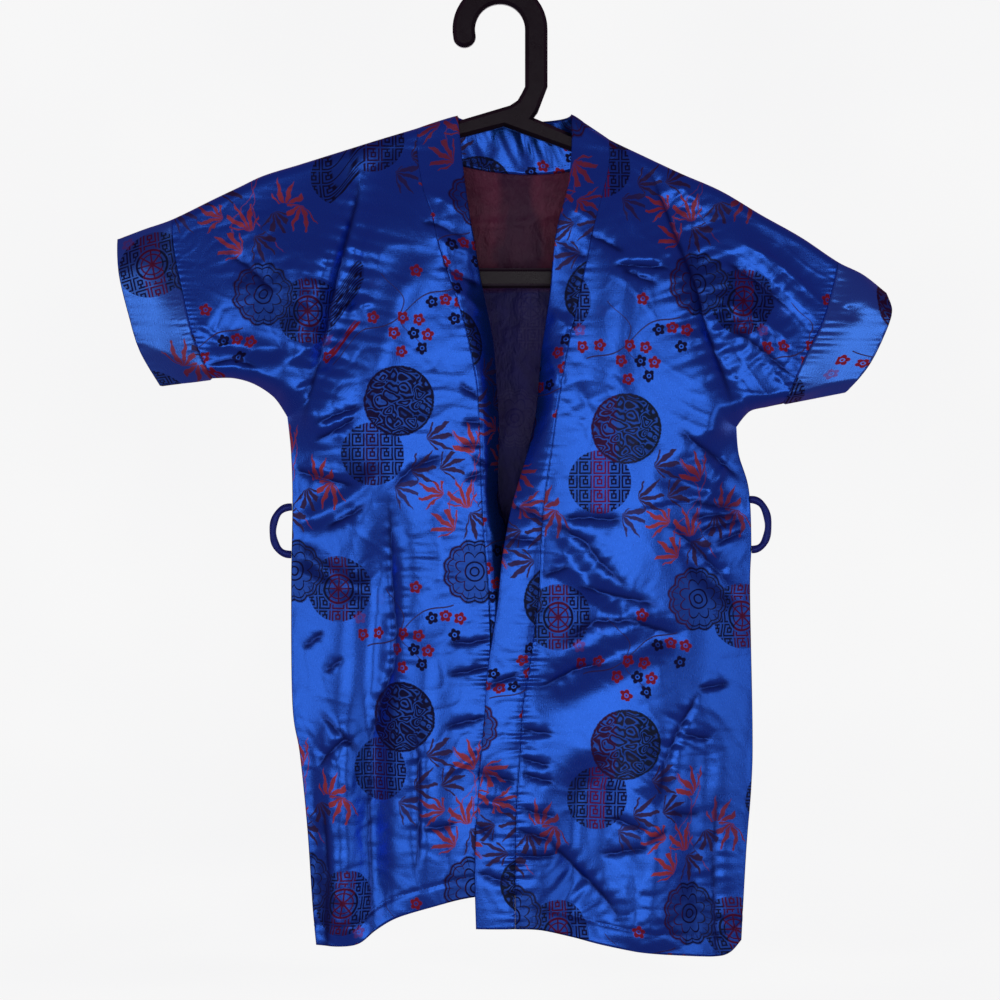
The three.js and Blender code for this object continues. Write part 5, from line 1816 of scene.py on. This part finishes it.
@dataclass(frozen=True)
class BrocadeSatin:
    """Royal-blue satin with woven motifs: bright metallic ground, duller yarns, and painted shade in the creases'
    bottoms.
    """

    weave: Weave
    name: str
    dark: float = 0.3
    ground: Colour = SATIN_BLUE
    metallic: float = 0.85
    roughness: float = 0.25
    yarn_metallic: float = 0.75
    yarn_roughness: float = 0.5
    leaf_share: float = 0.92
    twig_share: float = 0.85
    mottle: float = 0.3
    crease_shade_share: float = 0.82

    def material(self) -> bpy.types.Material:
        """Builds the material."""
        shader = Shader(self.name)
        weave = self.weave
        x, z = shader.flat()
        ax, az = weave.local(x, z, weave.cloud_x, weave.cloud_z)
        bx, bz = weave.local(x, z, weave.lotus_x, weave.lotus_z)
        stripe = ((x + z * 0.04) * 0.045).sine() * 0.5 + 0.5
        shade = self.ground
        parts = []
        for (px, pz), discs in (((ax, az), CLOUD_DISCS), ((bx, bz), LOTUS_DISCS)):
            for made in reversed(discs):
                whole, lines = weave.disc(shader, made, px, pz)
                across = (px - made.x) / (made.radius * 2.0) + 0.5
                yarn = shader.stops(across, [*zip(YARN_STARTS, made.yarns)])
                yarn = shader.blend(stripe * 0.35 + self.dark, yarn, NAVY_YARN)
                face = shader.blend(lines, shader.blend(made.ground, self.ground, NAVY_YARN), yarn)
                shade = shader.blend(whole, shade, face)
                parts.append(whole * (lines * 0.75 + 0.25))
        leaf, chance = weave.leaves(shader, bx, bz)
        leaf_yarn = shader.blend(chance.above(0.62), RED_YARN, BROWN_YARN)
        shade = shader.blend(leaf * self.leaf_share, shade, shader.blend(stripe * 0.5, leaf_yarn, BROWN_YARN))
        petal, chance, twig = weave.blossoms(shader, ax, az)
        shade = shader.blend(twig * self.twig_share, shade, BROWN_YARN)
        shade = shader.blend(petal, shade, shader.blend(chance.above(0.66), ROSE_YARN, NAVY_YARN))
        covered = largest([*parts, leaf, petal, twig])
        mottle = shader.noise(shader.vector(x / 60.0, z / 90.0), 1.0, 3.0)
        shade = shader.blend(mottle * self.mottle, shade, NAVY_YARN)
        # Painted shade: the colour darkens to a deep blue in the creases' bottoms
        furrow = shader.node("ShaderNodeAttribute", {"attribute_name": "furrow"}).outputs["Fac"]
        shade = shader.blend(Wire(shader, furrow) * self.crease_shade_share, shade, CREASE_SHADE_BLUE)
        threads = shader.noise(shader.vector(x * 1.1, z * 0.3), 1.0, 2.0)
        slubs = shader.noise(shader.vector(x * 0.12, z * 0.9), 1.0, 2.0)
        normal = shader.bump(threads + slubs * 0.6, 0.14, 0.0006)
        return shader.surface(
            Base_Color=shade, Metallic=shader.between(covered, self.metallic, self.yarn_metallic),
            Roughness=shader.between(covered, self.roughness, self.yarn_roughness) + threads * 0.06,
            Normal=normal)


@dataclass(frozen=True)
class Lining:
    """The wrong side of the cloth: plum, darker and dulled, crumpled, with painted light and shade on its crumples and
    a wandering strip of painted shade.
    """

    def material(self) -> bpy.types.Material:
        """Builds the material."""
        shader = Shader("plum_lining")
        x, z = shader.flat()
        crumple_and_shading = shader.noise(shader.vector(x / 14.0, z / 26.0), 1.0, 4.0, 0.6)
        # Painted light and shade: the plum lightens on the crumples' crests, which the same noise raises in the bump
        upper = shader.blend(crumple_and_shading, colour(58, 20, 48), colour(134, 56, 88))
        wander = shader.noise(shader.vector(x / 40.0, z / 60.0), 1.0, 3.0)
        # Painted shade: a darker wandering strip in the upper plum
        shaded = abs(x - 28.0 + wander * 44.0 + z * 0.05).within(15.0, 0.13)
        upper = shader.blend(shaded * 0.75, upper, colour(52, 10, 58))
        # The navy below is lightened on the crumples' crests too, as painted light
        lower = shader.blend(crumple_and_shading, colour(6, 8, 66), colour(12, 16, 132))
        discs = (Weave().disc(shader, made, x, z) for made in REVERSED_DISCS)
        ghosts = largest([whole * (1.0 - lines) for whole, lines in discs])
        lower = shader.blend(ghosts * 0.45, lower, colour(60, 60, 120))
        low = (-225.0 - z).within(0.0, 0.12)
        shade = shader.blend(low, lower, upper)
        fold = shader.bump(crumple_and_shading, 0.5, 0.004)
        return shader.surface(Base_Color=shade, Roughness=0.5, Metallic=0.2, Normal=fold)


@dataclass(frozen=True)
class PlainSatin:
    """Navy satin of the belt loops, with a diagonal weave."""

    def material(self) -> bpy.types.Material:
        """Builds the material."""
        shader = Shader("loop_satin")
        x, z = shader.flat()
        ribs = ((x + z) * 3.2).sine() * 0.5 + 0.5
        worn = shader.noise(shader.vector(x / 5.0, z / 5.0), 1.0)
        shade = shader.blend(worn * 0.6, colour(30, 60, 160), NAVY_YARN)
        return shader.surface(Base_Color=shade, Metallic=0.5, Roughness=worn * 0.2 + 0.35,
                              Normal=shader.bump(ribs, 0.3, 0.0003))


@dataclass(frozen=True)
class Thread:
    """The sewing thread: matte blue, twisted."""

    def material(self) -> bpy.types.Material:
        """Builds the material."""
        shader = Shader("sewing_thread")
        place = shader.place()
        twist = shader.noise(place, 2600.0)
        shade = shader.blend(twist, colour(20, 34, 110), colour(40, 66, 160))
        return shader.surface(Base_Color=shade, Roughness=0.75, Normal=shader.bump(twist, 0.3, 0.0002))


@dataclass(frozen=True)
class MouldedPlastic:
    """Black moulded plastic: a soft gloss, flow marks, light scuffs, and painted highlights along the bar's ribs."""

    def material(self) -> bpy.types.Material:
        """Builds the material."""
        shader = Shader("moulded_plastic")
        place = shader.place()
        flow = shader.noise(place, 38.0, 3.0)
        grain = shader.noise(place, 900.0, 1.0)
        scuffs = shader.noise(place, 140.0, 5.0, 0.7)
        height = shader.parts(place)[2] / MM
        ribs = abs(height + 211.5).within(0.7, 1.5) + abs(height + 224.6).within(0.7, 1.5)
        shade = shader.blend(scuffs * 0.5, colour(9, 9, 11), colour(30, 31, 34))
        # Painted highlight: the colour is lightened along the bar's ribs
        shade = shader.blend(ribs * 0.5, shade, colour(84, 86, 88))
        rough = flow * 0.16 + scuffs * 0.12 + 0.16
        return shader.surface(Base_Color=shade, Roughness=rough, Specular_IOR_Level=0.35,
                              Normal=shader.bump(grain + flow * 3.0 + ribs * 22.0, 0.08, 0.0006))


@dataclass(frozen=True)
class StudioPaper:
    """The pale floor and backdrop."""

    def material(self) -> bpy.types.Material:
        """Builds the material."""
        shader = Shader("studio_paper")
        place = shader.place()
        tone = shader.noise(place, 1.5)
        shade = shader.blend(tone, colour(246, 246, 247), colour(252, 252, 252))
        return shader.surface(Base_Color=colour(20, 20, 20), Roughness=1.0, Specular_IOR_Level=0.0,
                              Emission_Color=shade, Emission_Strength=0.97)


def wear(piece: bpy.types.Object, *materials: bpy.types.Material) -> None:
    """Gives a piece its materials, slot by slot."""
    for number, material in enumerate(materials):
        if number < len(piece.material_slots):
            piece.material_slots[number].material = material
        else:
            piece.data.materials.append(material)


@dataclass
class BeltLoop:
    """A turned satin tube, sewn into the side seam at both ends."""

    half: Half
    radius: float = 2.9
    gap: float = 0.4
    steps: int = 44
    sides: int = 20
    cut_length: float = 60.0
    bend_power: float = 0.8
    squash: float = 0.93
    crush: float = 0.07
    seam_dip: float = 0.09
    seam_angle: float = -0.9
    seam_width: float = 0.2

    def build(self) -> bpy.types.Object:
        """Builds the loop, slightly flattened, with its long seam."""
        half = self.half
        turn = half.turn()
        xs, zs = (half.seam.columns[name][turn:] for name in ("x", "z"))
        ends = [float(np.interp(-z, -zs, xs)) + half.sign * self.gap
                for z in (half.loop_top, half.loop_bottom)]
        share = np.linspace(0, 1, self.steps + 1)
        angle = np.pi * share
        reach = half.loop_reach * half.sign * np.sin(angle) ** self.bend_power
        height = (half.loop_top - half.loop_bottom) / 2
        centre = np.stack([lerp(ends[0], ends[1], share) + reach,
                           (half.loop_top + half.loop_bottom) / 2 + height * np.cos(angle)], axis=1)
        along = np.gradient(centre, axis=0)
        along /= np.linalg.norm(along, axis=1)[:, None]
        side = np.stack([along[:, 1], -along[:, 0]], axis=1)
        angle = np.linspace(0, 2 * np.pi, self.sides + 1)
        crush = 1 + self.crush * np.sin(share * 21)[:, None] * np.cos(2 * angle)[None, :]
        past_seam = (angle + np.pi) % (2 * np.pi) - np.pi - self.seam_angle
        seam = 1 - self.seam_dip * np.exp(-(past_seam / self.seam_width) ** 2)[None, :]
        reach = self.radius * crush * seam
        x = centre[:, :1] + side[:, :1] * np.cos(angle)[None, :] * reach
        z = centre[:, 1:] + side[:, 1:] * np.cos(angle)[None, :] * reach
        y = np.sin(angle)[None, :] * reach * self.squash
        places = np.stack([x, y, z], axis=-1)[:, :-1]
        ring = np.arange((self.steps + 1) * self.sides).reshape(self.steps + 1, self.sides)
        ring = np.concatenate([ring, ring[:, :1]], axis=1)
        faces = ring_of(ring).reshape(-1, 4)
        around = np.broadcast_to(angle * self.radius, (self.steps + 1, self.sides + 1))
        length = np.broadcast_to(share[:, None] * self.cut_length, around.shape)
        flat = ring_of(np.stack([around, length], axis=-1)).reshape(-1, 4, 2)
        places = places.reshape(-1, 3)
        ends_at = [ring[0, :-1][::half.sign], ring[-1, :-1][::-half.sign]]
        piece = mesh_piece(f"satin_loop_{half.name}", places, faces[:, ::half.sign],
                           flat[:, ::half.sign], np.zeros(len(faces)))
        close_ends(piece, ends_at)
        return piece


def close_ends(piece: bpy.types.Object, rings: list[np.ndarray]) -> None:
    """Closes a tube's open ends with flat faces.

    Args:
        piece: The tube.
        rings: The point numbers round each end, turning so that the face looks outwards.
    """
    mesh = piece.data
    places = [tuple(vertex.co) for vertex in mesh.vertices]
    faces = [tuple(face.vertices) for face in mesh.polygons] + [tuple(map(int, r)) for r in rings]
    flat = [tuple(item.uv) for item in mesh.uv_layers[0].data]
    flat += [(0.0, 0.0)] * sum(len(r) for r in rings)
    mesh.clear_geometry()
    mesh.from_pydata(places, [], faces)
    layer = mesh.uv_layers.get("flat") or mesh.uv_layers.new(name="flat")
    layer.data.foreach_set("uv", np.array(flat).reshape(-1))
    mesh.polygons.foreach_set("use_smooth", np.ones(len(faces), dtype=bool))
    mesh.update()


@dataclass
class Stitches:
    """A row of stitches along a line on the cloth."""

    name: str
    pitch: float = 3.1
    share: float = 0.62
    width: float = 0.5
    proud: float = 0.28
    sink: float = 0.3
    flatness: float = 0.8
    wander: float = 0.25
    sides: int = 6

    def build(self, line: np.ndarray, away: np.ndarray) -> bpy.types.Object:
        """Builds the row.

        Args:
            line: Points along the stitch line, on the cloth's outer face.
            away: The directions in which the cloth faces there.

        Returns:
            The stitches, as one piece.
        """
        run = run_along(line)
        count = int(run[-1] / self.pitch)
        places, faces = [], []
        shares = np.array([-0.5, -0.36, 0.0, 0.36, 0.5]) * self.share * self.pitch
        fat = np.array([0.25, 0.85, 1.0, 0.85, 0.25]) * self.width / 2
        angle = np.arange(self.sides) * 2 * np.pi / self.sides
        for k in range(count):
            at = (k + 0.5) * self.pitch + self.wander * math.sin(k * 2.3)
            middle = [np.interp(at + shares, run, line[:, axis]) for axis in range(3)]
            centre = np.stack(middle, axis=1)
            up = np.array([np.interp(at, run, away[:, axis]) for axis in range(3)])
            up /= np.linalg.norm(up)
            along = centre[-1] - centre[0]
            along /= np.linalg.norm(along)
            side = np.cross(along, up)
            sink = np.abs(shares) / shares[-1] * self.sink
            centre = centre + up * (self.proud - sink)[:, None] * 0.5
            ring = (centre[:, None, :] + side * (np.cos(angle) * fat[:, None])[..., None]
                    + up * (np.sin(angle) * fat[:, None] * self.flatness)[..., None])
            start = len(places) * len(shares) * self.sides
            places.append(ring.reshape(-1, 3))
            at_ring = start + np.arange(len(shares) * self.sides).reshape(len(shares), self.sides)
            at_ring = np.concatenate([at_ring, at_ring[:, :1]], axis=1)
            faces.append(ring_of(at_ring).reshape(-1, 4))
        faces = np.concatenate(faces)
        return mesh_piece(self.name, np.concatenate(places), faces, np.zeros((len(faces), 4, 2)),
                          np.zeros(len(faces)))


def facing_all(line: np.ndarray, facing: int) -> np.ndarray:
    """One direction for every point of a line: -1 to the front and 1 to the back."""
    return np.tile(np.array([0.0, float(facing), 0.0]), (len(line), 1))


def hem_line(shell: Shell, facing: int) -> tuple[np.ndarray, np.ndarray]:
    """The stitch line above a hem.

    Args:
        shell: The piece, whose last grid ends at the hem.
        facing: -1 at the front and 1 at the back.

    Returns:
        The line's points, and the directions in which the cloth faces.
    """
    outer = shell.outer_grid(len(shell.grids) - 1)
    line = []
    for column in range(1, outer.shape[1] - 1):
        points = outer[:, column]
        target = points[-1, 2] + HEM_TURN
        order = np.argsort(points[:, 2])
        line.append([float(np.interp(target, points[order, 2], points[order, axis]))
                     for axis in range(3)])
    line = np.array(line)
    return line, facing_all(line, facing)


LIGHT_TINT = (0.97, 1.0, 1.0)
SURROUND_TINT = (1.0, 0.42, 0.85, 1.0)
SURROUND_STRENGTH = 0.19


@dataclass
class Studio:
    """The camera, lights, floor and backdrop."""

    distance: float = 2.4
    height: float = -0.3964
    span: float = 0.8
    floor: float = -1.25
    light_height: float = 1.1
    floor_reach: float = 3.4
    cove: float = 1.2
    wall: Points = ((4.6, 1.5), (4.6, 3.2), (3.6, 4.2), (0.0, 4.6))

    def camera(self) -> None:
        """Sets the camera square before the robe."""
        data = bpy.data.cameras.new("camera")
        data.lens = data.sensor_width * self.distance / self.span
        camera = bpy.data.objects.new("camera", data)
        camera.location = (0.0, -self.distance, self.height)
        camera.rotation_euler = (math.radians(90), 0.0, 0.0)
        bpy.context.scene.collection.objects.link(camera)
        bpy.context.scene.camera = camera

    def light(self, name: str, place: tuple[float, float, float], width: float, power: float) -> None:
        """Adds a soft light that faces the robe's middle."""
        data = bpy.data.lights.new(name, "AREA")
        data.shape = "RECTANGLE"
        data.size, data.size_y = width, self.light_height
        data.energy = power
        data.color = LIGHT_TINT
        light = bpy.data.objects.new(name, data)
        light.visible_camera = False
        light.location = place
        towards = np.array([0.0, 0.0, self.height]) - np.array(place)
        flat = math.hypot(towards[0], towards[1])
        light.rotation_euler = (math.atan2(flat, -towards[2]), 0.0, math.atan2(-towards[0], towards[1]))
        bpy.context.scene.collection.objects.link(light)

    def lights(self) -> None:
        """Adds the lights and a dim surround."""
        for name, place, width, power in (
            ("front_light", (0.05, -2.6, -0.55), 2.3, 10.2),
            ("front_left_light", (-2.2, -1.75, -0.62), 1.6, 6.2),
            ("front_right_light", (2.35, -1.7, -0.62), 1.5, 4.2),
            ("back_light", (-0.1, 2.6, -0.5), 2.3, 10.2),
            ("back_left_light", (-2.3, 1.6, -0.4), 1.3, 3.4),
            ("back_right_light", (2.3, 1.6, -0.4), 1.3, 3.4),
        ):
            self.light(name, place, width, power)
        world = bpy.data.worlds.new("surround")
        world.use_nodes = True
        background = world.node_tree.nodes["Background"]
        background.inputs[0].default_value = SURROUND_TINT
        background.inputs[1].default_value = SURROUND_STRENGTH
        bpy.context.scene.world = world

    def room(self) -> None:
        """Adds the pale floor and the round wall, which aren't part of the robe and only show."""
        bend = np.linspace(0, np.pi / 2, 12)
        run = np.concatenate([
            np.stack([np.linspace(0.0, self.floor_reach, 12), np.full(12, self.floor)], axis=1),
            np.stack([self.floor_reach + self.cove * np.sin(bend),
                      self.floor + self.cove - self.cove * np.cos(bend)], axis=1)[1:],
            np.array(self.wall)])
        turn = np.linspace(0, 2 * np.pi, 49)
        x, y = (run[:, :1] * round_[None, :] for round_ in (np.cos(turn), np.sin(turn)))
        places = np.stack([x, y, np.broadcast_to(run[:, 1:], x.shape)], axis=-1)
        at = np.arange(x.size).reshape(x.shape)
        faces = ring_of(at).reshape(-1, 4)
        room = mesh_piece("studio_room", places.reshape(-1, 3) / MM, faces,
                          np.zeros((len(faces), 4, 2)), np.zeros(len(faces)))
        wear(room, StudioPaper().material())
        room.visible_diffuse = room.visible_glossy = room.visible_shadow = False
        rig.stage(room)


def finish_piece(piece: bpy.types.Object, materials: Sequence[bpy.types.Material], slot: str,
                 *nodes: str) -> bpy.types.Object:
    """Dresses a piece, ties it to the model and logs it.

    Args:
        piece: The piece.
        materials: Its materials, slot by slot.
        slot: The finish slot of the record that it has.
        nodes: The solids that it stands for.

    Returns:
        The piece.
    """
    wear(piece, *materials)
    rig.ride(piece, "root")
    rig.slot(piece, slot)
    if nodes:
        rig.replaces(piece, *nodes)
    LOG.info("%s: %d faces", piece.name, len(piece.data.polygons))
    return piece


def write_sizes(first: tuple, last: tuple) -> None:
    """Keeps the model's box before and after the looks were added."""
    sizes = {"before": [[float(v) for v in corner] for corner in first],
             "after": [[float(v) for v in corner] for corner in last]}
    with open("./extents.json", "w", encoding="utf-8") as out:
        json.dump(sizes, out, indent=1)


def main() -> None:
    """Builds every piece in order, then the studio."""
    logging.basicConfig(level=logging.INFO, format="%(name)s %(message)s")
    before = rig.bounds()
    bpy.context.scene.view_settings.view_transform = "Standard"
    studio = Studio()
    studio.camera()
    robe = Robe()
    brocade = BrocadeSatin(Weave(), "brocade_satin_left", dark=0.6).material()
    brocade_right = BrocadeSatin(Weave(cloud_x=100, cloud_z=-340, lotus_x=160, lotus_z=-475),
                                 "brocade_satin_right").material()
    band_cloth = BrocadeSatin(Weave(shift_x=64.0, shift_z=40.0), "band_satin").material()
    cuff_weaves = (Weave(), Weave(cloud_x=60, cloud_z=15, lotus_x=100, lotus_z=130))
    # The cuffs' satin is a brighter copy of the body's, as painted light
    cuff_cloths = [BrocadeSatin(weave, f"cuff_satin_{half.name}", ground=LIT_CUFF_BLUE).material()
                   for weave, half in zip(cuff_weaves, (LEFT, RIGHT))]
    lining = Lining().material()
    left, left_edge = Front(LEFT, robe, False).build()
    right, right_edge = Front(RIGHT, robe, True).build()
    back_maker = Back(robe)
    back, neck_edge = back_maker.build()
    band = Neckband(robe).build(left_edge, neck_edge, back_maker.angles(), right_edge)
    cuffs = [Cuff(LEFT, robe).build(), Cuff(RIGHT, robe, dents=RIGHT_CUFF_DENTS).build()]
    shells = [(left, brocade, lining, "front_left"), (right, brocade_right, lining, "front_right"),
              (back, brocade_right, lining, "back"), (band, band_cloth, band_cloth, "neckband"),
              (cuffs[0], cuff_cloths[0], lining, "cuff_left"),
              (cuffs[1], cuff_cloths[1], lining, "cuff_right")]
    for shell, outside, inside, node in shells:
        slot = "band_satin" if shell is band else "brocade_satin"
        finish_piece(shell.piece, (outside, inside), slot, node)
        LOG.info("%s: %.4f square metres of cloth", shell.piece.name, shell.cloth_area())
    thread = Thread().material()
    rows = {}
    for shell, facing, name in ((left, -1, "front_left"), (right, -1, "front_right"), (back, 1, "back")):
        row = Stitches(f"hem_stitches_{name}").build(*hem_line(shell, facing))
        rows[name] = finish_piece(row, (thread,), "brocade_satin")
    neck_line = band.grids[0].places[:, 2]
    neck_line = neck_line[neck_line[:, 1] > NECK_STITCH_DEPTH]
    neck_row = Stitches("neck_stitches", pitch=2.6).build(neck_line, facing_all(neck_line, -1))
    finish_piece(neck_row, (thread,), "band_satin")
    pieces = [shell.piece for shell, *_ in shells]
    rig.sheet(left.piece, flat=(0.258, 0.653), held="hung", rests_on=["hanger"],
             area=left.cloth_area(), with_pieces=[rows["front_left"]])
    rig.sheet(right.piece, flat=(0.258, 0.652), held="hung", rests_on=["hanger", left.piece],
             area=right.cloth_area(), with_pieces=[rows["front_right"]])
    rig.sheet(back.piece, flat=(0.532, 0.653), held="hung", rests_on=["hanger"],
             area=back.cloth_area(), with_pieces=[rows["back"]])
    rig.sheet(band.piece, flat=(0.036, 1.42), held="hung", rests_on=pieces[:3], area=band.cloth_area(),
             with_pieces=[neck_row])
    for cuff, side, size in zip(cuffs, pieces[:2], ((0.046, 0.272), (0.046, 0.246))):
        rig.sheet(cuff.piece, flat=size, held="hung", rests_on=[side, back.piece])
    loop_cloth = PlainSatin().material()
    for half in (LEFT, RIGHT):
        finish_piece(BeltLoop(half).build(), (loop_cloth,), "brocade_satin", f"belt_loop_{half.name}")
    plastic = MouldedPlastic().material()
    for piece in bpy.data.objects:
        if piece.name == "hanger":
            wear(piece, plastic)
    studio.lights()
    studio.room()
    write_sizes(before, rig.bounds())


if __name__ == "__main__":
    main()
